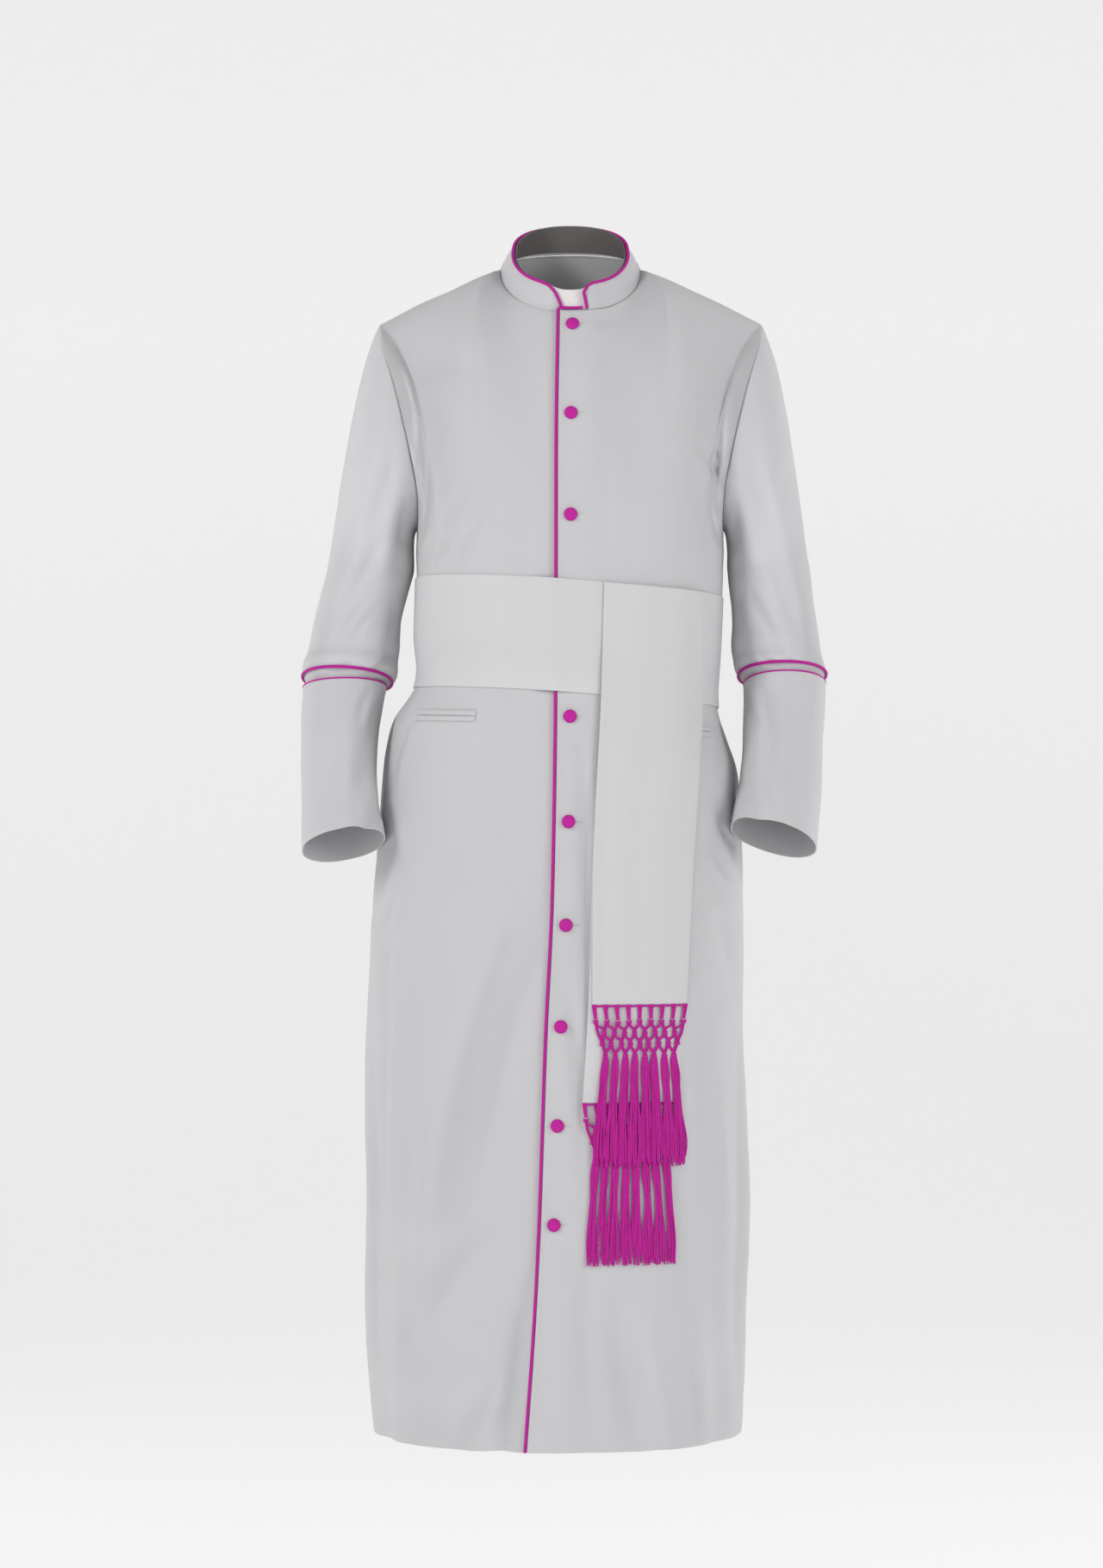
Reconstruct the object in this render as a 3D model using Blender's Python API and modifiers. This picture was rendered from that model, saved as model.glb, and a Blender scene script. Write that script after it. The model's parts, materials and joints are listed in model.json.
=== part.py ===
"""A buttoned clergy robe with its tasselled sash, hollow and hanging as it is worn.

Metres, +Z up, the front faces -Y. The origin is the middle of the neck opening at
shoulder level. The cloth is a thin wall, lofted through the rows of the tables below.

Places on the body of the robe have two numbers. The station is the angle round the
body in degrees: 0 at the centre front, 90 at the +X side, 180 at the centre back and
-90 at the -X side. The level is 0 at the hem, 1 at the chest ring under the arms, and
2 at the top edge, which runs along neckline, shoulder seam and armhole.
"""
from math import cos, degrees, pi, radians, sin, sqrt

import bmesh
import bpy
import numpy as np
from mathutils import Vector

COLLECTION = "clergy_robe"

# Cloth
WALL = 0.0020
THIN_WALL = 0.0015
SEAM_GAP = 0.0003
LAP = 0.0365
LAP_LIFT = 0.0027
LAP_FADE = 0.026

# Body: height of the rings, how far each follows the sash's tilt, half widths to -X
# and +X, depths to the front and back, and squareness of the outline
HEM = -1.405
CHEST = -0.345
BODY_RINGS = [
    # height, tilt, left, right, front, back, squareness
    (HEM, 0.0, 0.2385, 0.2065, 0.200, 0.262, 2.30),
    (-1.330, 0.0, 0.2465, 0.2105, 0.197, 0.252, 2.30),
    (-1.250, 0.0, 0.2500, 0.2120, 0.193, 0.241, 2.30),
    (-1.120, 0.0, 0.2475, 0.2165, 0.187, 0.223, 2.30),
    (-1.030, 0.0, 0.2492, 0.2140, 0.181, 0.212, 2.30),
    (-0.930, 0.0, 0.2490, 0.2098, 0.175, 0.200, 2.35),
    (-0.780, 0.0, 0.2400, 0.2086, 0.167, 0.180, 2.35),
    (-0.660, 0.3, 0.2310, 0.2040, 0.160, 0.158, 2.35),
    (-0.592, 0.7, 0.2240, 0.1985, 0.157, 0.142, 2.40),
    (-0.560, 0.9, 0.2160, 0.1880, 0.155, 0.132, 2.40),
    (-0.520, 1.0, 0.1895, 0.1785, 0.152, 0.114, 2.45),
    (-0.4535, 1.0, 0.1885, 0.1805, 0.149, 0.106, 2.50),
    (-0.3865, 1.0, 0.1865, 0.1840, 0.147, 0.111, 2.50),
    (CHEST, 0.0, 0.1870, 0.1870, 0.146, 0.120, 2.50),
]
SASH_TOP = -0.3865
SASH_MIDDLE = -0.4535
SASH_BOTTOM = -0.520
TILT_ACROSS = -0.012
TILT_FORWARD = 0.0045
SKIRT_ROWS = [HEM, -1.330, -1.250, -1.170, -1.090, -1.010, -0.930, -0.850, -0.780, -0.710,
              -0.650, -0.600, -0.560, SASH_BOTTOM, SASH_MIDDLE, SASH_TOP, CHEST]
YOKE_LEVELS = [1.12, 1.25, 1.40, 1.55, 1.70, 1.83, 1.93, 2.0]

# Neckline: half width, depths, squareness, height at the sides and slope fore and aft
NECK_SIDE = 0.0845
NECK_FRONT = 0.090
NECK_BACK = 0.066
NECK_SQUARENESS = 2.3
NECK_HEIGHT = 0.0047
NECK_SLOPE_FRONT = 0.702
NECK_SLOPE_BACK = 0.36
NECK_BEND = 0.020
NECK_STATION = 32.0
TIP_STATION = 60.0
ARMHOLE_STEPS = 5
SIDE_INSET = 0.045
CORNER_SLOWING = 0.7
SHOULDER_COLUMNS = 4
LEFT_NECK_COLUMNS = 4
RIGHT_NECK_COLUMNS = 7
BACK_NECK_COLUMNS = 13
LAP_MIDDLE = 0.018
LAP_END_GAP = 0.001
SHOULDER_SEAM = [
    # station, across, forward or back, height
    (NECK_STATION, NECK_SIDE, 0.000, 0.0010),
    (42.0, 0.1350, 0.002, -0.0190),
    (52.0, 0.1900, 0.003, -0.0425),
    (TIP_STATION, 0.2326, 0.002, -0.0640),
]
ARMHOLE_FRONT = [
    # station, across, forward or back, height
    (TIP_STATION, 0.2326, 0.002, -0.0640),
    (63.0, 0.2270, -0.030, -0.0950),
    (66.0, 0.2142, -0.053, -0.1380),
    (69.5, 0.1987, -0.068, -0.2000),
    (74.0, 0.1870, -0.063, -0.2580),
    (81.0, 0.1845, -0.036, -0.3000),
    (90.0, 0.1865, -0.002, -0.3180),
]
ARMHOLE_BACK = [
    # station from the centre back, across, forward or back, height
    (TIP_STATION, 0.2326, 0.002, -0.0640),
    (63.0, 0.2290, 0.034, -0.0950),
    (66.0, 0.2190, 0.056, -0.1450),
    (69.5, 0.2070, 0.068, -0.2050),
    (74.0, 0.1945, 0.060, -0.2620),
    (81.0, 0.1880, 0.032, -0.3020),
    (90.0, 0.1865, -0.002, -0.3180),
]
FRONT_ARRIVALS = [
    # station, across, towards the seam, up: how the cloth arrives at the top edge
    (0.0, 0.00, 0.45, 0.90),
    (16.0, -0.04, 0.60, 0.80),
    (NECK_STATION, -0.55, 0.85, 0.12),
    (46.0, -0.05, 1.00, 0.10),
    (TIP_STATION, 0.50, 0.72, 0.45),
    (66.0, 0.68, 0.48, 0.55),
    (69.5, 0.64, 0.42, 0.62),
    (74.0, 0.45, 0.45, 0.77),
    (81.0, 0.10, 0.30, 0.95),
    (90.0, 0.00, 0.00, 1.00),
]
BACK_ARRIVALS = [
    # station from the centre back, across, towards the seam, up
    (0.0, 0.00, 0.45, 0.90),
    (16.0, -0.04, 0.66, 0.78),
    (24.0, -0.16, 0.92, 0.50),
    (NECK_STATION, -0.32, 1.20, 0.14),
    (39.0, -0.18, 1.14, 0.10),
    (46.0, -0.05, 1.02, 0.12),
    (TIP_STATION, 0.50, 0.72, 0.45),
    (66.0, 0.68, 0.48, 0.55),
    (69.5, 0.64, 0.42, 0.62),
    (74.0, 0.45, 0.45, 0.77),
    (81.0, 0.10, 0.30, 0.95),
    (90.0, 0.00, 0.00, 1.00),
]

# Front edge of the lapping front: height and distance from the centre plane
FRONT_EDGE = [
    # height, across
    (HEM, -0.0512),
    (-1.258, -0.0411),
    (-1.140, -0.0351),
    (-1.025, -0.0311),
    (-0.909, -0.0270),
    (-0.790, -0.0210),
    (-0.669, -0.0179),
    (-0.518, -0.0159),
    (-0.335, -0.0154),
    (-0.190, -0.0150),
    (-0.058, -0.0127),
]
BUTTON_FROM_EDGE = 0.0150
BUTTON_HEIGHTS = [-0.0762, -0.1841, -0.3051, -0.5484, -0.6693, -0.7897, -0.9088, -1.0246, -1.1400]
BUTTON_RADIUS = 0.0080
BUTTON_THICKNESS = 0.0050
BUTTON_GAP = 0.0006
BUTTON_STEPS = 10

# Folds: a path of three places, half width and depth in metres
FOLDS = [
    # top height, station, middle height, station, low height, station, half width, depth
    (-0.740, -14.0, -0.950, -34.0, -1.230, -47.0, 0.040, 0.0100),
    (-1.150, -18.5, -1.280, -20.5, HEM, -23.5, 0.023, 0.0085),
    (-0.980, -63.0, -1.200, -66.0, HEM, -68.0, 0.034, 0.0060),
    (-1.180, 13.0, -1.300, 18.0, HEM, 23.0, 0.045, 0.0065),
    (-0.760, 62.0, -1.050, 58.0, HEM, 55.0, 0.040, 0.0060),
    (-0.900, 92.0, -1.150, 96.0, HEM, 99.0, 0.038, 0.0085),
    (-0.620, 118.0, -0.950, 122.0, HEM, 125.0, 0.042, 0.0130),
    (-0.560, 146.0, -0.920, 146.0, HEM, 148.0, 0.040, 0.0150),
    (-0.560, 171.0, -0.950, 170.0, HEM, 169.0, 0.040, 0.0160),
    (-0.560, 194.0, -0.900, 193.0, HEM, 192.0, 0.038, 0.0130),
    (-0.600, 219.0, -0.950, 217.0, HEM, 214.0, 0.042, 0.0145),
    (-0.650, 243.0, -1.000, 241.0, HEM, 238.0, 0.038, 0.0110),
    (-0.820, 265.0, -1.100, 262.0, HEM, 261.0, 0.040, 0.0085),
]

# Sleeves and cuffs: centre of each ring, half width and depth, lift of the outer
# edge and of the front edge
RIGHT_SLEEVE = [
    # height, across, forward or back, half width, half depth, outer lift, front lift
    (-0.3650, 0.2435, 0.003, 0.0525, 0.0630, 0.003, 0.000),
    (-0.4200, 0.2575, 0.004, 0.0520, 0.0610, 0.003, 0.004),
    (-0.4664, 0.2640, 0.003, 0.0545, 0.0585, 0.004, 0.010),
    (-0.4970, 0.2712, -0.003, 0.0530, 0.0560, 0.003, 0.014),
    (-0.5025, 0.2730, -0.0055, 0.0476, 0.0508, 0.000, 0.0110),
    (-0.5230, 0.2752, -0.0135, 0.0466, 0.0500, -0.001, 0.0118),
]
LEFT_SLEEVE = [
    # height, across, forward or back, half width, half depth, outer lift, front lift
    (-0.3650, 0.2412, 0.003, 0.0500, 0.0620, 0.003, 0.000),
    (-0.4200, 0.2474, 0.004, 0.0510, 0.0610, 0.003, 0.004),
    (-0.4664, 0.2512, 0.003, 0.0540, 0.0585, 0.002, 0.010),
    (-0.4915, 0.2575, -0.002, 0.0520, 0.0560, 0.000, 0.0150),
    (-0.4980, 0.2596, -0.0052, 0.0468, 0.0508, 0.000, 0.0155),
    (-0.5190, 0.2594, -0.0135, 0.0460, 0.0500, -0.001, 0.0158),
]
RIGHT_CUFF = [
    # height, across, forward or back, half width, half depth, outer lift, front lift
    (-0.5070, 0.2740, -0.007, 0.0508, 0.0545, -0.001, 0.0105),
    (-0.5600, 0.2782, -0.030, 0.0475, 0.0525, -0.002, 0.0150),
    (-0.6236, 0.2784, -0.058, 0.0455, 0.0500, -0.005, 0.0180),
    (-0.6956, 0.2715, -0.090, 0.0499, 0.0500, -0.0088, 0.0200),
]
LEFT_CUFF = [
    # height, across, forward or back, half width, half depth, outer lift, front lift
    (-0.5030, 0.2600, -0.007, 0.0500, 0.0545, 0.000, 0.0155),
    (-0.5600, 0.2572, -0.030, 0.0488, 0.0525, -0.004, 0.0170),
    (-0.6236, 0.2524, -0.058, 0.0490, 0.0505, -0.009, 0.0190),
    (-0.6873, 0.2425, -0.090, 0.0515, 0.0505, -0.014, 0.0200),
]
SLEEVE_SQUARENESS = 2.15
ARM_DIRECTION = (0.18, 0.0, -1.0)
UNDER_ARM_WAY = (1.0, 0.0, -0.2)
CAP_LEAVING = [
    # angle round the armhole from the shoulder tip, across, forward or back, up
    (0.0, 0.100, 0.000, -0.200),
    (45.0, 0.105, -0.045, -0.105),
    (90.0, 0.080, -0.035, -0.045),
    (135.0, 0.045, -0.020, -0.020),
    (180.0, 0.020, 0.000, -0.004),
    (225.0, 0.050, 0.010, -0.018),
    (270.0, 0.088, 0.022, -0.040),
    (315.0, 0.105, 0.045, -0.105),
    (360.0, 0.100, 0.000, -0.200),
]
CAP_ROWS = [0.0, 0.06, 0.20, 0.42, 0.70, 1.0]
SLEEVE_COLUMNS = 20
CUFF_ROWS = 6
CUFF_PIPING_RISE = 0.0015

# Collar: the loop of its top edge, and its height towards the two front ends
COLLAR_TOP_SIDE = 0.0712
COLLAR_TOP_FRONT = 0.078
COLLAR_TOP_BACK = 0.062
COLLAR_TOP_MIDDLE = -0.015
COLLAR_TOP_HEIGHT = 0.0315
COLLAR_TOP_SLOPE_FRONT = 0.75
COLLAR_TOP_SLOPE_BACK = 0.45
COLLAR_RIGHT_END = -0.0127
COLLAR_LEFT_END = 0.0213
COLLAR_RIGHT_SHAPE = [
    # distance from the end, share of the full height
    (0.0, 0.10),
    (0.003, 0.32),
    (0.009, 0.64),
    (0.0175, 0.88),
    (0.032, 1.0),
]
COLLAR_LEFT_SHAPE = [
    # distance from the end, share of the full height
    (0.0, 0.70),
    (0.0025, 0.84),
    (0.008, 0.94),
    (0.020, 1.0),
]
COLLAR_CLEAR_TURN = 4.0
BAND_DEPTH = 0.0030
BAND_RISE = 1.15
BAND_FOOT = 0.12
TAB_HALF_WIDTH = 0.0330
TAB_TOP_MIDDLE = 0.91
TAB_TOP_ENDS = 1.10
TAB_FOOT = -0.24
TAB_COLUMNS = 9
BAND_FROM_TAB = 0.5
BAND_CLEAR_TURN = 3.0

# Piping
PIPING = 0.0019
PIPING_FROM_EDGE = 0.0025
PIPING_BEND = 0.0037
PIPING_TOP_LEVEL = 1.985
NOTCH_PIPING_START = 0.0013
NOTCH_PIPING_SHORT = 0.0068
NOTCH_PIPING_POINTS = 5
COLLAR_PIPING_DEPTH = 0.0004
COLLAR_PIPING_LAST = 0.55
COLLAR_PIPING_START = 0.85
FINE_PIPING = 0.0011
SLEEVE_PIPING_HEIGHTS = {"left": -0.4915, "right": -0.4970}

# Sash
SASH_GAP = 0.0005
SASH_CLEAR_OF_PIPING = 0.0052
PIPING_REACH = 0.0055
SASH_SLOPE = 0.13
SASH_EASE_REACH = 0.03
SASH_COLUMNS_BESIDE_LAP = 12
FRONT_TAIL_FOOT = -0.8830
REAR_TAIL_FOOT = -0.9978
REAR_TAIL_TOP = -0.5212
TAIL_COLUMNS = 8
FRONT_TAIL_EDGES = [
    # height, -X edge, +X edge
    (FRONT_TAIL_FOOT, 0.0246, 0.1347),
    (-0.7140, 0.0257, 0.1434),
    (-0.5200, 0.0349, 0.1528),
    (-0.3865, 0.0390, 0.1560),
]
REAR_TAIL_EDGES = [
    # height, -X edge, +X edge
    (REAR_TAIL_FOOT, 0.0134, 0.1260),
    (-0.8850, 0.0200, 0.1310),
    (-0.7140, 0.0250, 0.1400),
    (-0.5200, 0.0380, 0.1500),
]
FRONT_TAIL_LIFT = [
    # height, gap to the front under it: rear tail and sash lie between
    (FRONT_TAIL_FOOT, 0.0034),
    (-0.7100, 0.0034),
    (-0.6500, 0.0042),
    (-0.6000, 0.0053),
    (SASH_BOTTOM, 0.0053),
    (SASH_MIDDLE, 0.0032),
    (SASH_TOP, 0.0030),
]
REAR_TAIL_LIFT = [
    # height, gap to the front under it: a pocket's lips lie between
    (REAR_TAIL_FOOT, 0.0010),
    (-0.7100, 0.0010),
    (-0.6500, 0.0017),
    (-0.6000, 0.0028),
    (SASH_BOTTOM, 0.0028),
]
TAIL_ROWS = [SASH_MIDDLE, SASH_BOTTOM, -0.560, -0.600, -0.650, -0.710, -0.780, -0.850, -0.930]

# Fringe: a knotted net that ends in strands, in millimetres across and down
FRINGE_WALL = 0.0016
FRINGE_BACKING = 3.0
FRINGE_LENGTH = 190.0
KNOT_ROWS = [
    # down, knots in the row, share of the tail's width that the net keeps
    (20.0, 9, 0.97),
    (33.0, 8, 0.88),
    (46.0, 9, 0.83),
    (60.0, 8, 0.86),
]
KNOT_HALF_WIDTH = 2.6
KNOT_HALF_HEIGHT = 2.4
LEG_HALF_WIDTH = 1.3
LEG_ABOVE_KNOT = 8.0
BUNDLE_HEAD = 3.0
BUNDLE_HEAD_SPREAD = 1.25
NET_SPREAD = 1.02
STRANDS_EACH = 6
STRAND_WIDTH = 1.5
STRAND_UNEVENNESS = 0.06
STRAND_SWAY = 0.24
STRAND_STAGGER = 0.5
FRINGES = [
    # node, edges of the tail, its foot, gap to the cloth, seed, spread of the bundles
    ("fringe_front", FRONT_TAIL_EDGES, FRONT_TAIL_FOOT, 0.0037, 11, 0.93),
    ("fringe_rear", REAR_TAIL_EDGES, REAR_TAIL_FOOT, 0.0010, 23, 0.80),
]

# Pockets: stations of the slit's ends, its height and the size of one lip
POCKET_STATIONS = (39.0, 63.0)
POCKET_COLUMNS = 7
POCKET_HEIGHT = -0.5535
LIP = 0.0062
LIP_WALL = 0.0012
LIP_LIFT = 0.0007

WHITE = (0.80, 0.79, 0.80)
MAGENTA = (0.45, 0.036, 0.28)
GREY = (0.16, 0.15, 0.15)
TAB_WHITE = (0.86, 0.82, 0.80)


class Smooth:
    """A smooth curve through a table's rows, read at a place in its first column."""

    def __init__(self, rows):
        table = np.array(sorted(rows), dtype=float)
        self.keys = table[:, 0]
        self.values = table[:, 1:]
        self.slopes = np.gradient(self.values, self.keys, axis=0)

    def __call__(self, place):
        place = min(max(place, self.keys[0]), self.keys[-1])
        index = int(np.searchsorted(self.keys, place, side="right")) - 1
        index = min(index, len(self.keys) - 2)
        span = self.keys[index + 1] - self.keys[index]
        share = (place - self.keys[index]) / span
        return hermite(self.values[index], self.slopes[index] * span,
                       self.values[index + 1], self.slopes[index + 1] * span, share)


def hermite(start, start_pull, end, end_pull, share):
    """The point at a share of the way along a curve that leaves and arrives as pulled."""
    square = share * share
    cube = square * share
    return ((2 * cube - 3 * square + 1) * start + (cube - 2 * square + share) * start_pull
            + (3 * square - 2 * cube) * end + (cube - square) * end_pull)


def ease(share):
    """Zero to one with a soft start and end."""
    share = min(max(share, 0.0), 1.0)
    return share * share * (3 - 2 * share)


def unit(vector):
    return vector / np.linalg.norm(vector)


def superellipse(sine, cosine, half_width, depth, squareness):
    """Radius of a rounded outline in the direction that the sine and cosine give."""
    across = (abs(sine) / half_width) ** squareness
    along = (abs(cosine) / depth) ** squareness
    return (across + along) ** (-1 / squareness)


body_rings = Smooth(BODY_RINGS)
front_edge = Smooth(FRONT_EDGE)
shoulder_seam = Smooth(SHOULDER_SEAM)
armhole_front = Smooth(ARMHOLE_FRONT)
armhole_back = Smooth(ARMHOLE_BACK)
front_arrivals = Smooth(FRONT_ARRIVALS)
back_arrivals = Smooth(BACK_ARRIVALS)


def level_of(height):
    """Level of a height on the skirt or the sash."""
    return (height - HEM) / (CHEST - HEM)


def height_of(level):
    return HEM + level * (CHEST - HEM)


fold_paths = [(Smooth([(row[0], row[1]), (row[2], row[3]), (row[4], row[5])]), row[0], row[4],
               row[6], row[7]) for row in FOLDS]


def fold_depth(station, height, radius):
    """How far the folds draw the skirt in at a place."""
    depth = 0.0
    for path, top, low, half_width, full_depth in fold_paths:
        if height > top or height < low:
            continue
        turn = (station - path(height)[0] + 180.0) % 360.0 - 180.0
        distance = abs(radians(turn) * radius) / half_width
        if distance >= 1.0:
            continue
        share = ease((top - height) / (0.55 * (top - HEM)))
        if low > HEM:
            share *= ease((height - low) / (0.35 * (top - low)))
        depth += full_depth * share * cos(distance * pi / 2) ** 2
    return depth


def neck_point(turn, side=NECK_SIDE, front=NECK_FRONT, back=NECK_BACK, middle=0.0,
               height=NECK_HEIGHT, slope_front=NECK_SLOPE_FRONT, slope_back=NECK_SLOPE_BACK):
    """A point of the neckline, or of a loop like it: turn 0 front, 90 at +X, 180 back."""
    sine = sin(radians(turn))
    cosine = cos(radians(turn))
    depth = front + middle if cosine >= 0 else back - middle
    power = 2 / NECK_SQUARENESS
    x = side * np.sign(sine) * abs(sine) ** power
    y = middle - depth * np.sign(cosine) * abs(cosine) ** power
    bend = (y - sqrt(y * y + NECK_BEND * NECK_BEND)) / 2
    z = height + slope_back * y + (slope_front - slope_back) * bend
    return np.array([x, y, z])


def slowed(reach):
    """Slow the run along the top edge at the neck's corner, so that no crease starts there."""
    if reach <= NECK_STATION:
        share = reach / NECK_STATION
        return NECK_STATION * (share + CORNER_SLOWING * share * (1 - share))
    if reach <= TIP_STATION:
        share = (reach - NECK_STATION) / (TIP_STATION - NECK_STATION)
        share -= CORNER_SLOWING * share * (1 - share) ** 2
        return NECK_STATION + (TIP_STATION - NECK_STATION) * share
    return reach


def top_edge(station):
    """A point of the top edge, and the pull with which the cloth arrives there."""
    side = 1.0 if station % 360.0 <= 180.0 else -1.0
    turn = abs((station + 180.0) % 360.0 - 180.0)
    at_back = turn > 90.0
    reach = slowed(180.0 - turn if at_back else turn)
    if reach <= NECK_STATION:
        neck_turn = reach * 90.0 / NECK_STATION
        point = neck_point(180.0 - neck_turn if at_back else neck_turn)
    elif reach <= TIP_STATION:
        point = shoulder_seam(reach)
    else:
        point = (armhole_back if at_back else armhole_front)(reach)
    if at_back:
        arrival = back_arrivals(reach) * (side, -1, 1)
    else:
        arrival = front_arrivals(reach) * (side, 1, 1)
    return point * (side, 1, 1), arrival


def ring_point(station, height):
    """A point of the skirt or waist, below the chest ring."""
    tilt, left, right, front, back, squareness = body_rings(height)
    sine = sin(radians(station))
    cosine = cos(radians(station))
    half_width = right if sine >= 0 else left
    depth = front if cosine >= 0 else back
    radius = superellipse(sine, cosine, half_width, depth, squareness)
    radius -= fold_depth(station, height, radius)
    z = height + tilt * (TILT_ACROSS * sine + TILT_FORWARD * cosine)
    return np.array([radius * sine, -radius * cosine, z])


def body_point(station, level):
    """A point of the outside of the robe's body."""
    if level <= 1.0:
        return ring_point(station, height_of(level))
    start = ring_point(station, CHEST)
    end, arrival = top_edge(station)
    reach = np.linalg.norm(end - start)
    return hermite(start, np.array([0, 0, reach]), end, arrival * reach, level - 1.0)


def body_normal(station, level):
    """Direction straight out of the cloth."""
    around = body_point(station + 0.5, level) - body_point(station - 0.5, level)
    upper = min(level + 0.004, 2.0)
    along = body_point(station, upper) - body_point(station, upper - 0.008)
    return unit(np.cross(around, along))


def edge_normal(station, level):
    """Direction out of the cloth; front and back share it along the shoulder seam."""
    normal = body_normal(station, level)
    turn = abs((station + 180.0) % 360.0 - 180.0)
    if level == 2.0 and NECK_STATION <= min(turn, 180.0 - turn) <= TIP_STATION:
        normal = unit(normal + body_normal(180.0 - station, level))
    return normal


def station_at(x, level):
    """Station on the front half where the body has a given x."""
    low, high = -60.0, 70.0
    for _ in range(34):
        middle = (low + high) / 2
        if body_point(middle, level)[0] < x:
            low = middle
        else:
            high = middle
    return (low + high) / 2


def edge_at(height):
    """Where the lapping front's edge is at a height."""
    return float(front_edge(height)[0])


def lap_lift(x, height):
    """How far the lapping front stands out where it lies on the other."""
    return LAP_LIFT * (1 - ease((x - edge_at(height) - LAP) / LAP_FADE))


def lapped_point(station, level, lift=0.0):
    """A point on the outside of the front as it shows, lap included, moved out by lift."""
    point = body_point(station, level)
    normal = body_normal(station, level)
    if point[0] >= edge_at(point[2]) - 1e-6 and abs(station) < 90:
        lift += lap_lift(point[0], point[2])
    return point + normal * lift, normal


def make_material(name, colour, roughness):
    material = bpy.data.materials.new(name)
    material.use_nodes = True
    shader = material.node_tree.nodes["Principled BSDF"]
    shader.inputs["Base Color"].default_value = (*colour, 1)
    shader.inputs["Roughness"].default_value = roughness
    shader.inputs["Metallic"].default_value = 0.0
    return material


def place_object(name, data, colour, roughness=0.85):
    """Put mesh or curve data in the robe's collection, with its own material."""
    data.materials.append(make_material(name, colour, roughness))
    item = bpy.data.objects.new(name, data)
    bpy.data.collections[COLLECTION].objects.link(item)
    return item


def mesh_object(name, points, faces, colour):
    """A closed mesh with its faces turned outwards."""
    mesh = bpy.data.meshes.new(name)
    mesh.from_pydata([tuple(float(value) for value in point) for point in points], [], faces)
    work = bmesh.new()
    work.from_mesh(mesh)
    bmesh.ops.recalc_face_normals(work, faces=work.faces)
    work.to_mesh(mesh)
    work.free()
    mesh.shade_smooth()
    mesh.set_sharp_from_angle(angle=radians(50))
    return place_object(name, mesh, colour)


def cloth_wall(name, outer, inner, colour, closed=False, plain_rows=None):
    """A wall between two grids of points; closed grids join their last column to the first.

    Every wall is cut into triangles the same way, so that layers on it stay parallel. A
    panel of the body does so for its plain rows, and takes the shorter cut above them.
    """
    rows = len(outer)
    columns = len(outer[0])
    points = [point for row in outer for point in row] + [point for row in inner for point in row]
    offset = rows * columns
    spans = columns if closed else columns - 1
    faces = []
    for row in range(rows - 1):
        for column in range(spans):
            a = row * columns + column
            b = row * columns + (column + 1) % columns
            c = b + columns
            d = a + columns
            cuts = [(a, b, c), (a, c, d)]
            straight = np.linalg.norm(points[a] - points[c])
            if plain_rows and row >= plain_rows and np.linalg.norm(points[b] - points[d]) < straight:
                cuts = [(a, b, d), (b, c, d)]
            faces += cuts
            faces += [tuple(corner + offset for corner in reversed(cut)) for cut in cuts]
    for column in range(spans):
        following = (column + 1) % columns
        last = (rows - 1) * columns
        faces.append((following, column, column + offset, following + offset))
        faces.append((last + column, last + following, last + following + offset,
                      last + column + offset))
    if not closed:
        for row in range(rows - 1):
            low = row * columns
            high = low + columns
            end_low = low + columns - 1
            end_high = high + columns - 1
            faces.append((low, high, high + offset, low + offset))
            faces.append((end_high, end_low, end_low + offset, end_high + offset))
    return mesh_object(name, points, faces, colour)


def panel(name, columns_at, lapped, wall=WALL):
    """A front or the back: columns_at gives the stations of a row at its level."""
    outer = []
    inner = []
    for level in [level_of(height) for height in SKIRT_ROWS] + YOKE_LEVELS:
        outer_row = []
        inner_row = []
        for station in columns_at(level):
            place = level
            if level == 2.0:
                end, _ = top_edge(station)
                place -= SEAM_GAP / 2 / np.linalg.norm(end - ring_point(station, CHEST))
            normal = edge_normal(station, level)
            point = body_point(station, place)
            if lapped:
                point = point + normal * lap_lift(point[0], point[2])
            outer_row.append(point)
            inner_row.append(point - normal * wall)
        outer.append(outer_row)
        inner.append(inner_row)
    return cloth_wall(name, outer, inner, WHITE, plain_rows=len(SKIRT_ROWS) - 1)


def neck_to_side(inset):
    """Stations from the neckline's side by the shoulder tip to the side seam."""
    seam = list(np.linspace(NECK_STATION, TIP_STATION, SHOULDER_COLUMNS))
    return seam + list(np.linspace(TIP_STATION, 90.0 - inset, ARMHOLE_STEPS + 1)[1:])


def edge_station(level, beyond=0.0):
    """Station of the lapping front's edge, or of a line beyond it, at a level."""
    station = 0.0
    for _ in range(4):
        height = body_point(station, level)[2]
        station = station_at(edge_at(height) + beyond, level)
    return station


def left_front_columns(level, inset=SIDE_INSET):
    """From the piped edge round to the +X side seam."""
    near = [edge_station(level, beyond) for beyond in (0.0, LAP_MIDDLE, LAP, LAP + LAP_FADE)]
    neck = list(np.linspace(near[-1], NECK_STATION, LEFT_NECK_COLUMNS)[1:-1])
    return near + neck + neck_to_side(inset)


def right_front_columns(level, inset=SIDE_INSET):
    """From the -X side seam to the edge under the lap."""
    side = [-station for station in reversed(neck_to_side(inset))]
    end = edge_station(level, LAP - LAP_END_GAP)
    return side + list(np.linspace(-NECK_STATION, end, RIGHT_NECK_COLUMNS)[1:])


def back_columns(level, inset=SIDE_INSET):
    """From the +X side seam across the back to the other one."""
    side = neck_to_side(inset)
    neck = np.linspace(180.0 - NECK_STATION, 180.0 + NECK_STATION, BACK_NECK_COLUMNS)[1:-1]
    left = [180.0 - station for station in reversed(side)]
    return left + list(neck) + [180.0 + station for station in side]


def make_body():
    panel("front_left", left_front_columns, lapped=True)
    panel("front_right", right_front_columns, lapped=False)
    panel("back", back_columns, lapped=False)


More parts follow.
